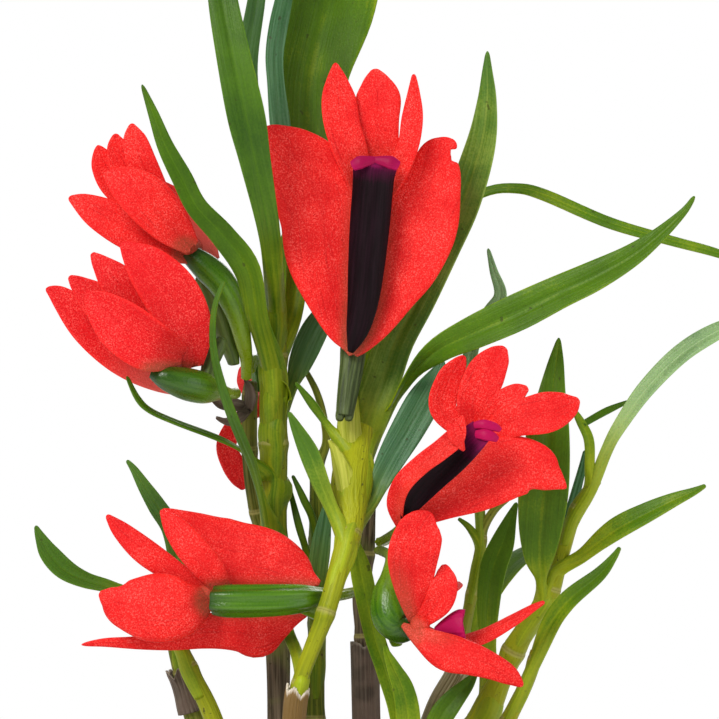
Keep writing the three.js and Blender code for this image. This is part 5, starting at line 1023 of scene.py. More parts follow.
# %% Rows of the flowers
def petal(cup, face_base, face_tip, rows):
    """A petal's cup, the way its upper face looks at its base and its tip, and its rows."""
    return {"cup": cup, "face": (face_base, face_tip), "rows": rows}


BLOOMS = {
    "bloom_top": {
        "heart": [(3.4, -4.4, 102.4, 1.5), (3.5, -6.8, 102.8, 1.5)],
        "petals": {
            "dorsal_sepal": petal(0.06, (0, -1, 0), (0, -1, 0.3), [(3.7, -5.8, 102, 4.6),
                (4, -6.2, 107, 5.5), (3.9, -6.6, 112, 6), (3.9, -6.4, 115.6, 6.4), (3.6, -6, 118.2, 3.6),
                (3.4, -5.8, 119.6, 0.8)]),
            "left_petal": petal(0.08, (0.3, -1, 0), (0.4, -1, 0.2), [(1.6, -6.6, 101.8, 2.6),
                (0.2, -7.6, 107, 5), (-1.2, -8, 111.4, 5.5), (-1.7, -7.8, 115.2, 5.2),
                (-2, -7.4, 118.2, 3), (-2.2, -7.2, 120.4, 0.5)]),
            "right_petal": petal(0.08, (-0.4, -1, 0), (-0.6, -1, 0.2), [(4.6, -6.4, 101, 2),
                (6.6, -7.4, 104.6, 3.2), (8.2, -7.8, 108.6, 3.4), (8.8, -7.6, 112.6, 3.5),
                (9, -7.2, 116.2, 2), (9, -7, 118.8, 0.5)]),
            "left_sepal": petal(0, (0.3, -1, 0), (0, -1, 0), [(0.2, -6, 78.7, 1), (-0.2, -6, 80.2, 2.6),
                (-1.2, -6, 82.7, 5.2), (-2.5, -6.1, 88, 9), (-3.5, -6.2, 93, 11.6),
                (-3.8, -6.2, 98, 12.4), (-4.8, -6, 101.6, 12.4), (-6.6, -5.8, 105.2, 11.2),
                (-8.9, -5.8, 108.3, 7.6), (-10.6, -5.9, 110.2, 3.6), (-12, -6, 111.4, 0.6)]),
            "right_sepal": petal(0, (-0.3, -1, 0), (0, -1, 0), [(0.5, -6, 78.7, 1), (1.4, -6, 80.2, 3),
                (3.5, -6, 83.6, 5.6), (5.5, -6.1, 87.9, 8.4), (7.2, -6.2, 91.6, 10.8),
                (8.8, -6.2, 96.1, 12.2), (10.3, -6, 100.3, 11.2), (11.9, -5.8, 104.4, 8),
                (12.4, -5.8, 107.2, 5.6), (13.4, -5.8, 108.4, 3.4), (14.4, -5.9, 108.7, 1.8),
                (15.1, -6, 108.2, 0.5)]),
        },
        "lip": petal(-0.34, (0, -1, 0), (0, -1, -0.1), [(0, -7, 79.2, 1), (0.9, -7.9, 82, 3.2),
            (1.7, -8.6, 86, 4.4), (2.2, -9, 91, 5.2), (2.7, -9.3, 97, 5.7), (3.1, -9.6, 102, 5.8),
            (3.3, -9.8, 104.4, 6), (3.5, -9.85, 105.6, 6.2), (3.55, -10.1, 106.4, 5.4)]),
        "ovary": [(3.2, -2.2, 102.6, 1.5), (3.2, -0.6, 98, 1.9), (3, 0.2, 92, 1.9), (2.4, -0.4, 86, 1.5),
            (1.3, -0.6, 79.6, 0.9), (0.1, -1.8, 74, 0.7), (0.4, -2.6, 69.6, 0.6)],
        "spur": [(1.6, -2.2, 86.5, 1.4), (0.5, -3.1, 80.8, 1.85), (0.1, -4.4, 77, 1.7),
            (-0.4, -5.8, 73.6, 1.5), (-0.8, -6.9, 70.8, 1.3), (-0.9, -7.1, 70, 1.15)],
    },
    "bloom_upper_left": {
        "heart": [(-22.4, -2.4, 94, 1.5), (-23.6, -7, 94.6, 1.5)],
        "petals": {
            "inner_petal": petal(0.1, (-0.2, -1, 0), (-0.2, -1, 0.1), [(-23.8, -5.2, 94.8, 2),
                (-27, -5.8, 100.2, 3.7), (-29.7, -6.2, 106, 4.2), (-30.9, -6, 109.6, 3.4),
                (-31.3, -5.8, 111.8, 0.6)]),
            "outer_petal": petal(0.1, (0.1, -1, 0), (0.2, -1, 0), [(-24.2, -4.6, 94.6, 2),
                (-28.6, -4.6, 100.4, 4.2), (-31.9, -4.6, 105.4, 4.8), (-33.3, -4.4, 108.4, 3.4),
                (-33.7, -4.2, 110.4, 0.6)]),
            "dorsal_sepal": petal(0.12, (0.1, -1, 0.2), (-0.1, -1, 0.2), [(-22.6, -7, 94, 2.6),
                (-25.6, -8.2, 97.2, 6), (-29, -8.8, 100.8, 7), (-32.6, -8.6, 103.4, 4.8),
                (-35.2, -8, 104.6, 0.6)]),
            "rear_sepal": petal(0.06, (0.1, -1, 0.1), (0, -1, 0.1), [(-19.2, -2.2, 92.4, 1),
                (-21.6, -2.4, 95.6, 4.2), (-24.8, -2.6, 99.4, 5.4), (-28.6, -2.8, 101.4, 5.8),
                (-32.6, -2.8, 103.4, 6.4), (-35.2, -2.8, 106.2, 4.4), (-36.3, -2.8, 108.8, 0.7)]),
            "front_sepal": petal(0.1, (0, -1, 0.1), (-0.1, -1, 0.1), [(-22.8, -5.6, 92.8, 2.4),
                (-27, -6.4, 94.6, 5.2), (-31.4, -6.6, 96.6, 6), (-35.6, -6.4, 98.8, 5),
                (-38.4, -6, 100.4, 3), (-40.3, -5.6, 101.2, 0.6)]),
        },
        "lip": petal(0.2, (0, 1, 0), (0, 1, 0), [(-22.8, -1.85, 93.2, 1.6), (-26.4, -0.4, 96.2, 3),
            (-30.6, 0.6, 99.8, 3.4), (-33.6, 0.4, 102.4, 4)]),
        "ovary": [(-23.6, -5.2, 93.6, 1.3), (-20.9, -5, 91.4, 2), (-18.4, -4.8, 88.9, 2.1),
            (-16.4, -4.2, 85, 1.7), (-15.4, -3, 80.6, 1.2), (-15, -1.6, 78, 0.9), (-15, -0.4, 75.4, 0.8)],
        "spur": [(-21.4, -3.8, 90.4, 1.4), (-19.6, -2.6, 86.6, 1.7), (-18.1, -1.8, 82, 1.5),
            (-17, -1.6, 78.4, 1), (-16.8, -1.6, 77.2, 0.8)],
    },
    "bloom_middle_left": {
        "heart": [(-24, -5, 76.8, 1.4), (-24.6, -10, 79.2, 1.5)],
        "petals": {
            "rear_sepal": petal(0.08, (0, -1, 0), (0.1, -1, 0), [(-21.6, -4.4, 73.2, 1),
                (-26.6, -5.4, 75.4, 4.4), (-32.2, -6.2, 78.6, 6), (-37.2, -6.8, 83, 6),
                (-41.4, -6.8, 87, 3.2), (-43.5, -6.6, 88.2, 0.6)]),
            "outer_petal": petal(0.1, (-0.1, -1, 0), (-0.1, -1, 0), [(-25.4, -8, 78.4, 2.4),
                (-31, -8.8, 82.4, 5.4), (-36, -9, 86.4, 5.2), (-38.8, -8.8, 88.8, 2.6),
                (-40.1, -8.6, 89.9, 0.6)]),
            "inner_petal": petal(0.1, (0.1, -1, 0), (0, -1, 0), [(-24.6, -8.6, 79, 2.6),
                (-28.6, -10.2, 84.4, 5.6), (-33, -10.6, 89, 5.2), (-35.6, -10.2, 91.8, 2.6),
                (-36.8, -9.8, 93.2, 0.6)]),
            "upper_sepal": petal(0.12, (0.3, -1, 0.1), (0, -1, 0.2), [(-22.4, -8.4, 77, 3),
                (-22.8, -10.8, 82, 6.8), (-25.4, -11.8, 87, 8.2), (-28.8, -11.8, 91.2, 6.4),
                (-31.4, -11, 93.6, 3), (-32.7, -10.6, 94.5, 0.6)]),
            "dorsal_sepal": petal(0.2, (0, -1, -0.2), (-0.1, -1, 0), [(-23.8, -10, 78.6, 2.8),
                (-27.6, -13.4, 79.6, 7), (-31.8, -13.8, 82.4, 7.6), (-35.4, -12.8, 85.6, 4.8),
                (-37.6, -11.8, 87.8, 0.6)]),
        },
        "lip": petal(0.2, (0, 1, 0), (0, 1, 0), [(-24.6, -4, 78.6, 1.6), (-28.4, -3.4, 81.8, 3),
            (-32.6, -3.4, 85.2, 3.4), (-35.6, -3.8, 87.8, 4)]),
        "ovary": [(-28.4, -11.2, 76.2, 0.7), (-26.2, -11.2, 75.4, 1.7), (-23.4, -10.2, 74.6, 2.3),
            (-20.9, -8.4, 74, 2.2), (-19.2, -6, 73.6, 1.4), (-17.4, -3, 73.2, 0.8),
            (-16.5, -0.6, 73.2, 0.8)],
        "spur": [(-20.6, -7.6, 75, 1), (-20, -6.4, 77.6, 1.2), (-18.9, -6, 79.9, 1.1),
            (-18.3, -6, 81.2, 0.6)],
    },
    "bloom_hidden": {
        "heart": [(-12.6, 7, 71.4, 1.5), (-12.6, 9.6, 71.8, 1.6)],
        "petals": {
            "hanging_sepal": petal(0.1, (-0.2, -1, 0), (-0.2, -1, 0), [(-12.8, 7.6, 71.4, 2),
                (-16.2, 6.2, 69, 2.8), (-18, 5.6, 65.8, 3), (-17, 5.2, 62.8, 3.4), (-15.9, 5, 60.4, 2.4),
                (-15.6, 4.9, 59.2, 0.6)]),
            "side_sepal": petal(0.1, (0.4, 1, 0), (0.3, 1, 0), [(-12.2, 9, 71, 2), (-11.4, 10.6, 67, 3),
                (-11.2, 11.6, 62.6, 3.2), (-11.4, 12, 58.8, 2.2), (-11.6, 12, 57.4, 0.6)]),
            "dorsal_sepal": petal(0.1, (0, 0.4, 1), (0, 0.4, 1), [(-12.6, 9.4, 72.2, 2.2),
                (-12.8, 12.6, 75, 4.4), (-12.8, 16, 77, 5), (-12.8, 19, 78.2, 3),
                (-12.8, 20.6, 78.6, 0.6)]),
            "left_petal": petal(0.1, (-0.5, 0.5, 1), (-0.6, 0.5, 0.8), [(-13.4, 9.2, 71.6, 1.8),
                (-14.6, 12, 73.6, 2.8), (-15.4, 15, 75.4, 3), (-15.8, 17.6, 76.6, 1.8),
                (-16, 18.8, 77, 0.6)]),
            "right_petal": petal(0.1, (0.5, 0.5, 1), (0.6, 0.5, 0.8), [(-11.8, 9.4, 71.6, 1.8),
                (-11, 12.2, 73.2, 2.8), (-10.4, 15.2, 74.6, 3), (-10.1, 17.8, 75.6, 1.8),
                (-10, 19, 75.8, 0.6)]),
        },
        "lip": petal(0.2, (0, 0.3, 1), (0, 0.3, 1), [(-12.9, 10.2, 70.4, 1.2), (-12.8, 12.4, 70.2, 3),
            (-12.8, 15, 70, 3.4), (-12.8, 17.4, 70, 4)]),
        "ovary": [(-12.9, 6, 73.6, 1.1), (-13.2, 5.4, 76.6, 1.2), (-13.8, 4.4, 78, 0.8),
            (-14.3, 3.2, 77.2, 0.7), (-14.4, 2.6, 76.4, 0.6)],
        "spur": [(-13.2, 5.8, 76, 0.9), (-12.6, 7.4, 79, 1), (-12.4, 8.6, 81, 0.7)],
    },
    "bloom_lower_left": {
        "heart": [(-20.2, -6.4, 44.6, 1.6), (-20.6, -9.8, 44.6, 1.6)],
        "petals": {
            "dorsal_sepal": petal(-0.12, (0, -1, 0), (0, -1, 0), [(-20, -9.4, 44, 3),
                (-23.4, -10.8, 43, 8.4), (-28.1, -11.2, 42.8, 9.8), (-32.6, -10.6, 43.4, 6.8),
                (-34.8, -9.8, 44.4, 3), (-35.7, -9.4, 44.9, 0.7)]),
            "left_petal": petal(-0.06, (0.2, -1, 0), (0.1, -1, 0), [(-20.8, -8.4, 45, 2.2),
                (-25.4, -8.4, 48, 3.4), (-29.4, -8.2, 50.8, 3.8), (-32.8, -7.8, 53.8, 2.6),
                (-34.8, -7.6, 55.9, 0.6)]),
            "upper_petal": petal(-0.1, (-0.3, -1, 0), (-0.3, -1, 0.1), [(-18.4, -9.8, 45.4, 2.8),
                (-20, -10.8, 48, 4.3), (-22.7, -11.2, 51.2, 4.6), (-25.1, -10.8, 54.3, 3.5),
                (-27, -10.4, 56.7, 0.5)]),
            "upper_sepal": petal(-0.04, (0.1, -1, 0.3), (0.1, -1, 0.2), [(-4.4, -7.6, 46.2, 0.8),
                (-6.2, -7.4, 46.9, 3.2), (-8.6, -7.1, 48.6, 6.2), (-12, -6.8, 49.9, 8.4),
                (-16.5, -6.8, 50.6, 9.2), (-19.7, -6.8, 51.6, 9), (-23, -7, 53.8, 6),
                (-26.8, -7.4, 56.8, 0.6)]),
            "lower_sepal": petal(-0.04, (0, -1, -0.3), (0, -1, -0.2), [(-6.2, -7.6, 41.9, 0.8),
                (-8.4, -7.2, 41, 2.4), (-11, -7, 39.7, 4.9), (-13.3, -6.8, 38.7, 7),
                (-15.8, -6.8, 39.1, 6), (-18.4, -6.8, 39.3, 5.5), (-21.4, -7, 39.2, 5.1),
                (-25.6, -7.2, 38.4, 3.9), (-30, -7.4, 37.7, 2.1), (-35, -7.4, 37.7, 1.3),
                (-38.4, -7.4, 37.4, 0.5)]),
        },
        "lip": petal(0.2, (0, 1, 0), (0, 1, 0), [(-7, -4.6, 43.8, 1.6), (-12, -4.2, 43.8, 3.4),
            (-17, -4.2, 44, 3.8), (-22, -4.2, 44.4, 4), (-25, -3.4, 44.8, 5)]),
        "ovary": [(-19.6, -11.6, 43.9, 1.9), (-17, -12, 43.8, 2.15), (-11, -11.6, 43.9, 2.1),
            (-7, -10.6, 44.1, 1.85), (-4.6, -9.2, 44.3, 1.3), (-2.4, -8.2, 44.4, 0.8),
            (-1, -5.6, 44.5, 0.75), (0.2, -1.6, 44.6, 0.7), (0.5, 0.3, 44.6, 0.6)],
        "spur": [(-8, -10.2, 43.6, 1), (-5, -8.4, 42, 1), (-3.6, -7, 41.4, 0.9), (-2.6, -6.4, 41.2, 0.5)],
    },
    "bloom_right": {
        "heart": [(17.4, -8.4, 66.8, 1.5), (18.6, -11.8, 67.6, 1.5)],
        "petals": {
            "left_petal": petal(0.08, (0.2, -1, 0), (0.2, -1, 0), [(16.8, -9.4, 67, 2),
                (13.2, -9.2, 71, 4), (13.9, -9.2, 75, 3.8), (15.4, -9.2, 77.4, 2.4),
                (16.2, -9.2, 78.6, 0.6)]),
            "dorsal_sepal": petal(0.1, (0.1, -1, 0.1), (0.1, -1, 0.2), [(17.4, -9.8, 68, 2.6),
                (17.6, -10.6, 72, 5.2), (19.2, -10.8, 76, 5.6), (21, -10.4, 78.6, 3.6),
                (22, -10.2, 79.8, 0.8)]),
            "right_petal": petal(0.08, (-0.1, -1, 0.2), (0, -1, 0.3), [(18.6, -10, 68.2, 2.2),
                (21.2, -11, 71.4, 3.8), (23.6, -11.2, 73.3, 3), (25.2, -11, 74, 0.7)]),
            "front_petal": petal(0.06, (0, -1, 0.2), (-0.1, -1, 0.2), [(19.2, -10.4, 67.4, 3),
                (23.6, -12, 69.6, 5), (27.8, -12.4, 70.6, 6), (30.8, -11.8, 71.6, 4),
                (32.4, -11.2, 72.4, 0.7)]),
            "right_sepal": petal(0.02, (0.1, -1, 0.1), (-0.1, -1, 0.1), [(7.2, -11.4, 54.4, 1),
                (9.4, -11.4, 56, 3.6), (13, -11.5, 58.2, 6), (17.5, -11.7, 60.6, 8.6),
                (22, -12, 62.7, 9.2), (26, -12.2, 62.7, 7.4), (28.4, -12, 61.3, 4.2),
                (29.8, -11.8, 60.4, 1.9), (30.6, -11.7, 59.8, 0.4)]),
            "left_sepal": petal(0.18, (-0.4, -1, 0.1), (-0.5, -1, 0), [(6.9, -11.6, 54.4, 1),
                (6.4, -13.4, 57.4, 2.9), (7.4, -15.4, 60.5, 3), (10, -16.4, 63.2, 2.9),
                (12.9, -16.8, 65.4, 3), (15, -16.8, 67.4, 2.9), (15.8, -16.4, 70.2, 0.5)]),
            "folded_corner": petal(0, (0.2, -1, 0), (0.2, -1, 0), [(14.3, -17, 69, 1.6),
                (14.8, -17.2, 67.4, 2.3), (15.4, -17.3, 66.2, 1.5), (16, -17.2, 65.2, 0.4)]),
        },
        "lip": petal(0.12, (0, -1, 0), (0, -1, 0.3), [(7.5, -12.8, 55.4, 1), (8.8, -13.4, 58, 3),
            (11.2, -14.2, 60.9, 4), (14.2, -15, 63.8, 4.4), (16.6, -15.4, 66.2, 4.3),
            (18.6, -15.8, 68.1, 3.6)]),
        "ovary": [(17.2, -7, 66.4, 1.4), (14.8, -5.4, 63, 1.8), (12, -4.4, 59.6, 1.8),
            (9.4, -4, 56.4, 1.2), (7, -3, 53.6, 0.8), (4.8, 0.2, 52, 0.7), (4, 1.6, 51.8, 0.6)],
        "spur": [(12.4, -6, 59, 1.1), (9.6, -7.8, 56, 1.3), (7.6, -8.6, 53.6, 1.2),
            (6.6, -8.6, 52.2, 0.8)],
    },
    "bloom_lower_right": {
        "heart": [(9.9, -9.4, 41, 1.5), (9.8, -12.8, 40, 1.4)],
        "petals": {
            "dorsal_sepal": petal(0.08, (0, -1, 0), (0.1, -1, 0), [(9.6, -11, 41, 2.8),
                (8.9, -12.4, 45.6, 5.4), (8.8, -13.6, 50, 7.2), (9.7, -14, 53.4, 6.8),
                (10.5, -14, 55.2, 4.8), (11.4, -13.8, 56.4, 0.9)]),
            "near_petal": petal(0.1, (0, -1, 0), (0, -1, 0), [(10.2, -11.6, 41, 2.2),
                (12.4, -12.6, 43.6, 4), (13.3, -12.8, 46.3, 3.8), (13.3, -12.4, 48.2, 2),
                (13.2, -12.2, 49, 0.6)]),
            "near_sepal": petal(-0.08, (0, -1, 0.2), (0, -1, 0.2), [(7.4, -11.6, 40.4, 0.8),
                (10, -13, 38.8, 3.2), (13.5, -13.8, 36.8, 5.4), (17, -14, 35.8, 4.8),
                (20.2, -13.8, 34.6, 3.8), (22.6, -13.4, 33.3, 2.8), (24.4, -13, 31.8, 0.7)]),
            "far_sepal": petal(-0.1, (0, -0.6, 1), (0, -0.8, 1), [(9.9, -9.8, 40.2, 2),
                (14.4, -9, 38, 3.4), (18.7, -8.6, 38.8, 3.4), (23, -8.8, 41, 2.6), (26, -9, 42.8, 1.4),
                (27.6, -9, 43.6, 0.5)]),
            "far_petal": petal(0.1, (0, -0.4, 1), (0.1, -0.3, 1), [(10, -9.6, 41.2, 2),
                (12.2, -6.6, 44, 3.6), (14.2, -3.6, 45.6, 3.6), (15, -1.4, 46, 1.8),
                (15.4, -0.4, 46, 0.6)]),
        },
        "lip": petal(0.2, (0, -0.4, 1), (0.2, -0.3, 1), [(11.7, -11, 39, 0.8), (13, -10.8, 39, 1.4),
            (14.2, -10.8, 39.2, 1.8), (15.2, -10.8, 39.4, 1.6)]),
        "ovary": [(8.6, -9.8, 39.6, 1.5), (7, -9.4, 39.9, 2.3), (5.8, -8.9, 41.6, 2.8),
            (5.5, -8.4, 44.4, 2.5), (5.8, -7.6, 47.3, 1.5), (5.7, -5.4, 49.8, 0.8),
            (4.4, -1.6, 50.6, 0.7), (3.9, -0.1, 50.6, 0.6)],
        "spur": [(6.6, -8, 39.6, 1.2), (6.5, -7.4, 38.2, 1.1), (6.6, -7.2, 37.2, 0.7)],
    },
}

print("flowers:", len(BLOOMS), "petals and sepals:", sum(len(bloom["petals"]) for bloom in BLOOMS.values()))

# %% [markdown]
# Petals are thinner at their edges than in the middle, and soft: each edge rolls back a little and waves.
# The part of a petal that lies close to the lip or the ovary is marked, and its finish fades there.
# Painting that by hand would have to be done again after each change of shape.

# %% Petals
PETAL_THICKNESS = 0.42


def petal_skin(spec, phase):
    """Section: width * (cup * (v^2 - 0.4) - 0.03 v^8 + 0.004 cos(7 pi v) sin(pi t)), a shallow cup with
    rolled edges and low veins, and edges that wave by 0.022 of the width."""
    def section(v, t, width):
        veins = 0.004 * np.cos(7 * np.pi * v) * np.sin(np.pi * t)
        wave = 0.022 * np.sin(7 * t + phase + v) * np.abs(v) ** 3
        return width * (spec["cup"] * (v**2 - 0.4) - 0.03 * v**8 + veins + wave)

    return blade(spec["rows"], spec["face"], section, PETAL_THICKNESS, stations=64, columns=21, tip=0.05)


def near(points, line):
    """How much a point is joined to a line, as seen from the front: the most of weight * exp(-(gap /
    0.9)^2 - (depth / 7)^2), where gap is the distance in x and z less the line's half width, and depth
    that in y."""
    apart = points[:, None] - line[None, :, :3]
    gap = np.maximum(np.hypot(apart[..., 0], apart[..., 2]) - line[None, :, 3], 0)
    return (line[None, :, 4] * np.exp(-(gap / 0.9) ** 2 - (apart[..., 1] / 7) ** 2)).max(1)


def line_of(rows, share, first, last, count=60):
    """Points along a flower's rows, with share * size as half width, and a weight that goes from first to
    last."""
    middle = along(rows, np.linspace(0, 1, count)) * (1, 1, 1, share) + (0, 0, MEDIUM_LEVEL, 0)
    return np.concatenate([middle, np.linspace(first, last, count)[:, None]], 1)


LIP_JOINED = {"bloom_top": 1.0, "bloom_right": 0.35}
# Painted shade: how much the red of each flower that lies in shade is darkened.
PAINTED_SHADE = {"bloom_middle_left": 0.7}


def petals_of(name, bloom):
    """The petals on their heart. Look's third value is the joined mark, and its second is painted shade
    that darkens the red. Its first makes the foot of a rear sepal paler: painted light, where light comes
    through it."""
    skins = []
    for phase, (part, spec) in enumerate(bloom["petals"].items()):
        made = petal_skin(spec, phase)
        # Painted light: the foot of a rear sepal is marked paler where it is lit from behind.
        foot = 1 - smooth(made["points"][:, PLACE + 1], 0.15, 0.5)
        made["points"][:, LOOK] = 0.7 * (part == "rear_sepal") * foot
        skins.append(made)
    skins.append(stem(bloom["heart"], stations=24, around=24, rounded=0.3))
    middle = np.concatenate([line_of(bloom["lip"]["rows"], 0.5, LIP_JOINED.get(name, 0.5), 0.0),
                             line_of(bloom["ovary"], 1, 0.9, 0.9)])
    for made in skins:
        made["points"][:, LOOK + 2] = near(made["points"][:, :3], middle)
        # Painted shade: the same darker red over the whole flower.
        made["points"][:, LOOK + 1] = PAINTED_SHADE.get(name, 0)
    return skins


for name, bloom in BLOOMS.items():
    piece(f"{name}_petals_dressed", petals_of(name, bloom), [PETAL], "petal", f"{name}_petals")

# %% [markdown]
# The lip is a deep channel, and at its mouth the front lobe or the two side lobes curl over, magenta. A
# blade's section can't fold back on itself, so each lobe is a short blade of its own, and only the
# flowers that show their mouths have them.

# %% Lips
MOUTHS = {
    "bloom_top": [
        [(4, -10.4, 106.5, 0.9), (2.6, -10.8, 106.4, 1.5), (1.3, -11.1, 106.2, 2),
         (0.1, -10.9, 105.6, 1.5)],
        [(3, -10.4, 106.5, 0.9), (4.4, -10.8, 106.4, 1.5), (5.7, -11.1, 106.2, 2),
         (6.9, -10.9, 105.6, 1.5)],
    ],
    "bloom_right": [
        [(17.4, -15.9, 68.8, 1), (18.8, -16.3, 69, 1.4), (20.4, -16.2, 68.6, 1.3), (21.2, -16, 68.1, 0.7)],
        [(17.6, -16, 67.6, 1.2), (18.8, -16.5, 67.6, 1.7), (20, -16.5, 67.3, 1.5),
         (20.8, -16.2, 66.8, 0.9)],
    ],
    "bloom_lower_right": [
        [(12, -11.4, 39.6, 1.2), (13.4, -12, 40.2, 3), (14.8, -12.6, 40.7, 4.6), (15.9, -12.9, 40.9, 4.7)],
    ],
}
LIP_THICKNESS, LOBE_THICKNESS = 0.5, 0.35
MOUTH_REDNESS = {"bloom_top": 0.65, "bloom_right": 0.9, "bloom_lower_right": 0.8}


def lip_section(cup):
    """Section: cup * width * (v^2 - 0.4), with edges that turn up more steeply, by 0.08 * width * v^6 *
    (1 - t)."""
    return lambda v, t, width: width * (cup * (v**2 - 0.4) + 0.08 * v**6 * (1 - t))


def mouth_section(v, t, width):
    """The edges fall back by 0.25 * width * v^2, and low ridges of 0.03 * width * cos(7 pi v) run
    lengthwise."""
    return width * (-0.25 * v**2 + 0.03 * np.cos(7 * np.pi * v))


for name, bloom in BLOOMS.items():
    lip = bloom["lip"]
    skins = [blade(lip["rows"], lip["face"], lip_section(lip["cup"]), LIP_THICKNESS,
                   stations=64, columns=21, tip=0.02)]
    look = (MOUTH_REDNESS.get(name, 0), 0, 0)
    skins += [blade(rows, ((0, -1, 0.2), (0, -1, 0.4)), mouth_section, LOBE_THICKNESS, look, columns=23)
              for rows in MOUTHS.get(name, [])]
    piece(f"{name}_lip_dressed", skins, [LIP], "lip", f"{name}_lip")

# %% [markdown]
# The ovary has six ribs, which a cosine of the angle gives for any stem. The spur that hangs from it is
# dull, darker and nearly smooth, and the flower in the middle shows the two small lobes at its end.

# %% Ovaries
DARK_SPURS = {"bloom_top": 0.85, "bloom_right": 0.3, "bloom_upper_left": 0.6, "bloom_middle_left": 0.7}
RIB_DEPTHS = {"bloom_lower_right": 0.01, "bloom_upper_left": 0.02, "bloom_middle_left": 0.015}
# How far along each ovary the painted shade next to the flower reaches.
SHADED_ENDS = {"bloom_middle_left": 0.6, "bloom_upper_left": 0.4, "bloom_lower_right": 0.3}
SPUR_YELLOW = 0.25


def pleats(depth, count):
    """A stem's reach with lengthwise ribs: 1 + depth * cos(count * angle)."""
    return lambda angle, height: 1 + depth * np.cos(count * angle) + 0 * height


def ribbed(rows, depth, shaded_end):
    """The ovary and its stalk, with six ribs. The look's first value turns the stalk yellow-green away
    from the flower, and its third marks the end next to the flower for painted shade."""
    made = stem(rows, pleats(depth, 6), stations=120, around=36, rounded=0.014)
    t = made["points"][:, PLACE + 1]
    made["points"][:, LOOK] = 0.75 * smooth(t, 0.30, 0.85)
    # Painted shade: the third look value marks the end next to the flower.
    made["points"][:, LOOK + 2] = 1 - smooth(t, 0.0, shaded_end)
    return made


def lobed(rows, dark):
    """A spur with eleven low ribs, and two lobes at its end: short stems either side of its last row,
    half its radius away."""
    look = (SPUR_YELLOW, dark, 0)
    neck, end = np.array(rows[-2], float), np.array(rows[-1], float)
    side = np.array([0.5 * end[3], 0, 0, 0])
    on = (end - neck) * (1, 1, 1, 0)
    skins = [stem(rows, pleats(0.035, 11), look, stations=60, around=44, rounded=0.02)]
    for sign in (-1, 1):
        lobe = np.stack([neck + sign * side, end + sign * side * 1.1, end + on * 0.9 + sign * side * 1.1])
        lobe[:, 3] = np.array([0.62, 0.58, 0.4]) * end[3]
        skins.append(stem(lobe, look=look, stations=24, around=20, rounded=0.2))
    return skins


for name, bloom in BLOOMS.items():
    dark = DARK_SPURS.get(name, 0.0)
    if name == "bloom_top":
        spur = lobed(bloom["spur"], dark)
    else:
        spur = [stem(bloom["spur"], look=(SPUR_YELLOW, dark, 0), rounded=0.1)]
    skins = [ribbed(bloom["ovary"], RIB_DEPTHS.get(name, 0.1), SHADED_ENDS.get(name, 0.16)), *spur]
    piece(f"{name}_ovary_dressed", skins, [OVARY], "ovary", f"{name}_ovary")

# %% [markdown]
# ## Pot and bark
# The pot is turned from one profile, with a deep rim band and softened edges, and three drain holes are
# cut in its floor. A Screw modifier turns profiles too, but here the low rings that a potter's fingers
# leave are part of the sum. The growing medium is a plug of bark with loose chips lying on it.

# %% Turned pieces
def softened(outline, cut):
    """Each inner corner becomes a curve (1 - s)^2 a + 2 s (1 - s) corner + s^2 b between two points that
    lie cut away from it along its sides."""
    outline = np.array(outline, float)
    corner = outline[1:-1, None]
    a = corner + unit(outline[:-2] - outline[1:-1])[:, None] * cut
    b = corner + unit(outline[2:] - outline[1:-1])[:, None] * cut
    s = np.linspace(0, 1, 7)[None, :, None]
    curves = (1 - s) ** 2 * a + 2 * s * (1 - s) * corner + s**2 * b
    return np.concatenate([outline[:1], curves.reshape(-1, 2), outline[-1:]])


def turned(outline, wobble=0.0, around=180):
    """A profile of (radius, height) carried round the z axis. wobble adds wobble * sin(2.1 height) to the
    radius, the low rings that a potter's fingers leave."""
    radius, height = np.array(outline, float).T
    radius = np.maximum(radius + wobble * np.sin(2.1 * height) * (radius > 5), 0.02)
    angle = np.linspace(0, 2 * np.pi, around, endpoint=False)[None]
    loops = np.stack([radius[:, None] * np.cos(angle), radius[:, None] * np.sin(angle),
                      height[:, None] + 0 * angle], -1)
    return skin(loops, loops / 30, loops / 4, np.zeros(3))


def filled(outline, step=1.5):
    """The outline with points added along its longer sides, about a step apart."""
    outline = np.array(outline, float)
    far = travelled(outline)
    places = np.union1d(far, np.arange(0, far[-1], step))
    return np.stack([np.interp(places, far, outline[:, k]) for k in range(2)], -1)


print("points round a softened corner:", len(softened([(0, 0), (9, 0), (9, 9)], 0.6)) - 2)

# %% [markdown]
# The pot's profile goes along its underside, up the outside, over the rim and down the inside to its
# floor. The drain holes can't be part of a turned profile, so a Boolean modifier cuts them, and its result
# is kept as the mesh.

# %% Make the pot
POT = {"height": 62, "rim": 36, "band": 12, "foot": 25, "wall": 3.2, "floor": 4}
DRAIN_RADIUS, DRAIN_RING = 2.6, 11


def inner_radius(height):
    """The pot's inner radius: a straight taper from the floor to the rim."""
    share = (height - POT["floor"]) / (POT["height"] - POT["floor"])
    return (POT["foot"] - POT["wall"] + 0.6) * (1 - share) + (POT["rim"] - POT["wall"]) * share


pot_outline = softened([
    (0, 0), (POT["foot"], 0), (POT["rim"] - 3.4, POT["height"] - POT["band"]),
    (POT["rim"] - 0.4, POT["height"] - POT["band"]), (POT["rim"], POT["height"] - 1.2),
    (POT["rim"] - 1.3, POT["height"]), (POT["rim"] - POT["wall"], POT["height"]),
    (inner_radius(POT["floor"]), POT["floor"]), (0, POT["floor"])], 0.6)
pot = piece("pot_dressed", [turned(filled(pot_outline), 0.05)], [CLAY], "clay", "pot")


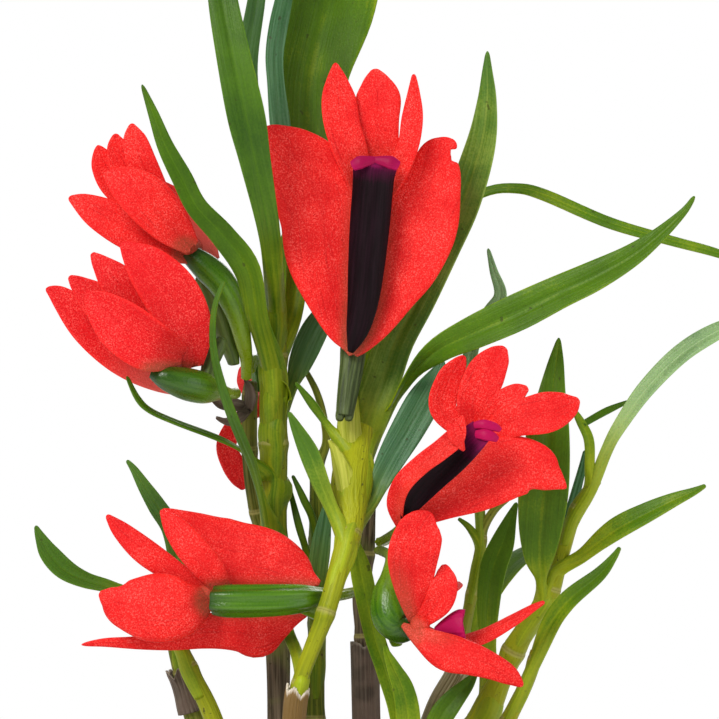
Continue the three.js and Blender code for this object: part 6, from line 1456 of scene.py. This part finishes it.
def drilled(target, places, radius, depth):
    """Cuts round holes through a piece, each with a turned cylinder, and keeps the result."""
    for place in places:
        cutter = turned([(0, -1), (radius, -1), (radius, depth), (0, depth)], around=32)
        cutter["points"][:, :2] += place
        tool = piece("drill", [cutter], [CLAY], "clay")
        cut = target.modifiers.new("drill", "BOOLEAN")
        cut.object, cut.solver = tool, "EXACT"
        view = bpy.context.evaluated_depsgraph_get()
        finished = bpy.data.meshes.new_from_object(target.evaluated_get(view))
        target.modifiers.clear()
        target.data = finished
        bpy.data.objects.remove(tool)


turn = 2 * np.pi * np.arange(3) / 3
drilled(pot, np.stack([np.cos(turn), np.sin(turn)], -1) * DRAIN_RING, DRAIN_RADIUS, POT["floor"] + 1)
print("pot faces:", len(pot.data.polygons))

# %% [markdown]
# A chip of bark is a slab with rounded-off edges and a rough surface. A rigid body simulation could drop
# the chips into place. Spreading them by the golden angle, which fills a disc evenly, looks much the same
# and is far quicker. Each is turned and tilted at random, from a fixed seed. CHIP_SIZES gives the least
# and the most of a chip's length, width and thickness.

# %% Make the bark
CHIPS = 170
CHIP_SIZES = ((7, 14), (4, 8), (1.8, 3.6))
random = np.random.default_rng(7)


def chip(centre, size):
    """Half size * (s, c^0.5, d^0.5): s runs along the chip, and c and d are a circle's cosine and sine
    with their signs kept, so the section is a rounded rectangle. The section closes as sqrt(1 - s^6), and
    every point is moved by up to 0.06 of the size."""
    s = np.sin(np.linspace(-np.pi / 2, np.pi / 2, 6))[:, None]
    angle = np.linspace(0, 2 * np.pi, 8, endpoint=False)[None] + 0.2
    c, d = np.cos(angle), np.sin(angle)
    closing = np.maximum(np.sqrt(1 - s**6), 0.25)
    across = closing * np.sign(c) * np.abs(c) ** 0.5
    upward = closing * np.sign(d) * np.abs(d) ** 0.5
    slab = np.stack([s + 0 * angle, across, upward], -1)
    slab += random.uniform(-0.12, 0.12, slab.shape)
    points = slab * np.array(size) / 2
    yaw, tilt, roll = random.uniform(0, np.pi), random.normal(0, 0.25), random.normal(0, 0.3)
    about_z = np.array([[np.cos(yaw), -np.sin(yaw), 0], [np.sin(yaw), np.cos(yaw), 0], [0, 0, 1]])
    about_y = np.array([[np.cos(tilt), 0, np.sin(tilt)], [0, 1, 0], [-np.sin(tilt), 0, np.cos(tilt)]])
    about_x = np.array([[1, 0, 0], [0, np.cos(roll), -np.sin(roll)], [0, np.sin(roll), np.cos(roll)]])
    grain = points + random.uniform(0, 60, 3)
    return skin(points @ (about_z @ about_y @ about_x).T + centre, slab, grain[..., [1, 2, 0]], np.zeros(3))


share = (np.arange(CHIPS) + 0.5) / CHIPS
reach = (inner_radius(MEDIUM_LEVEL) - 5.5) * np.sqrt(share)
spiral = np.arange(CHIPS) * np.pi * (3 - np.sqrt(5))
centres = np.stack([reach * np.cos(spiral), reach * np.sin(spiral),
                    MEDIUM_LEVEL - 1.6 + random.uniform(-1.0, 1.2, CHIPS)], -1)
sizes = np.stack([random.uniform(least, most, CHIPS) for least, most in CHIP_SIZES], -1)
bottom, top = POT["floor"] + 0.4, MEDIUM_LEVEL - 2
plug = turned([(0, bottom), (inner_radius(POT["floor"]) - 0.4, bottom), (inner_radius(top) - 0.3, top),
               (0, MEDIUM_LEVEL - 1.6)], around=90)
piece("bark_dressed", [plug, *[chip(centre, size) for centre, size in zip(centres, sizes)]], [BARK], "bark",
      "growing_medium")

# %% [markdown]
# ## Floor and light
# A pale floor and a white surround give soft light from all sides, as on an overcast day by a window. The
# surround looks plain white, but it lights the plant at about half strength, and shows in reflections at
# a fifth. At full strength the waxy leaves would turn grey.

# %% Floor and surround
FLOOR_RADIUS, FLOOR_DROP, FLOOR_POINTS = 0.9, 0.0002, 96
LIGHT_STRENGTH, REFLECTED_STRENGTH = 0.58, 0.20

floor_finish = new_finish("floor", Base_Color=(0.86, 0.86, 0.85, 1), Roughness=0.9)
floor_mesh = bpy.data.meshes.new("floor")
edge = np.linspace(0, 2 * np.pi, FLOOR_POINTS, endpoint=False)
disc = np.stack([FLOOR_RADIUS * np.cos(edge), FLOOR_RADIUS * np.sin(edge), 0 * edge - FLOOR_DROP], -1)
floor_mesh.from_pydata(disc, [], [list(range(FLOOR_POINTS))])
floor_mesh.materials.append(floor_finish)
floor = bpy.data.objects.new("floor", floor_mesh)
bpy.context.scene.collection.objects.link(floor)

world = bpy.data.worlds.new("surround")
world.use_nodes = True
bpy.context.scene.world = world
tree = world.node_tree
seen = tree.nodes["Background"]
seen.inputs["Color"].default_value = (1, 1, 1, 1)
seen.inputs["Strength"].default_value = 1.0
ambient = tree.nodes.new("ShaderNodeBackground")
ambient.inputs["Color"].default_value = (0.97, 0.98, 1, 1)
path = tree.nodes.new("ShaderNodeLightPath")
pick = tree.nodes.new("ShaderNodeMixShader")
dimmer = tree.nodes.new("ShaderNodeMath")
dimmer.operation = "MULTIPLY_ADD"
dimmer.inputs[1].default_value = REFLECTED_STRENGTH - LIGHT_STRENGTH
dimmer.inputs[2].default_value = LIGHT_STRENGTH
tree.links.new(path.outputs["Is Glossy Ray"], dimmer.inputs[0])
tree.links.new(dimmer.outputs[0], ambient.inputs["Strength"])
tree.links.new(path.outputs["Is Camera Ray"], pick.inputs[0])
tree.links.new(ambient.outputs[0], pick.inputs[1])
tree.links.new(seen.outputs[0], pick.inputs[2])
tree.links.new(pick.outputs[0], tree.nodes["World Output"].inputs["Surface"])
print("light from the surround:", LIGHT_STRENGTH)

# %% [markdown]
# A surround alone would light every petal alike. A large lamp from the upper left shapes them, a weaker
# one on the right opens the shadows, and one behind lights the leaf edges. All are wide, because a small
# lamp's shadows would be too sharp for so small a plant.

# %% Lamps
PLANT_MIDDLE = (0, 0, 0.13)


def lamp(name, place, watts, size, colour=(1, 1, 1)):
    """A square lamp that faces the middle of the plant."""
    made = bpy.data.objects.new(name, bpy.data.lights.new(name, "AREA"))
    made.data.energy, made.data.size, made.data.color = watts, size, colour
    made.location = place
    target = np.array(PLANT_MIDDLE) - place
    yaw = np.arctan2(target[0], target[1])
    drop = np.arctan2(target[2], np.hypot(target[0], target[1]))
    made.rotation_euler = (np.pi / 2 + drop, 0, -yaw)
    bpy.context.scene.collection.objects.link(made)


lamp("key", (-0.5, -0.8, 0.8), 11.0, 0.5, (1, 0.98, 0.94))
lamp("fill", (0.9, -0.5, 0.25), 2.0, 0.6)
lamp("back", (0.3, 0.9, 0.7), 4, 0.6)
bpy.context.scene.view_settings.view_transform = "Standard"
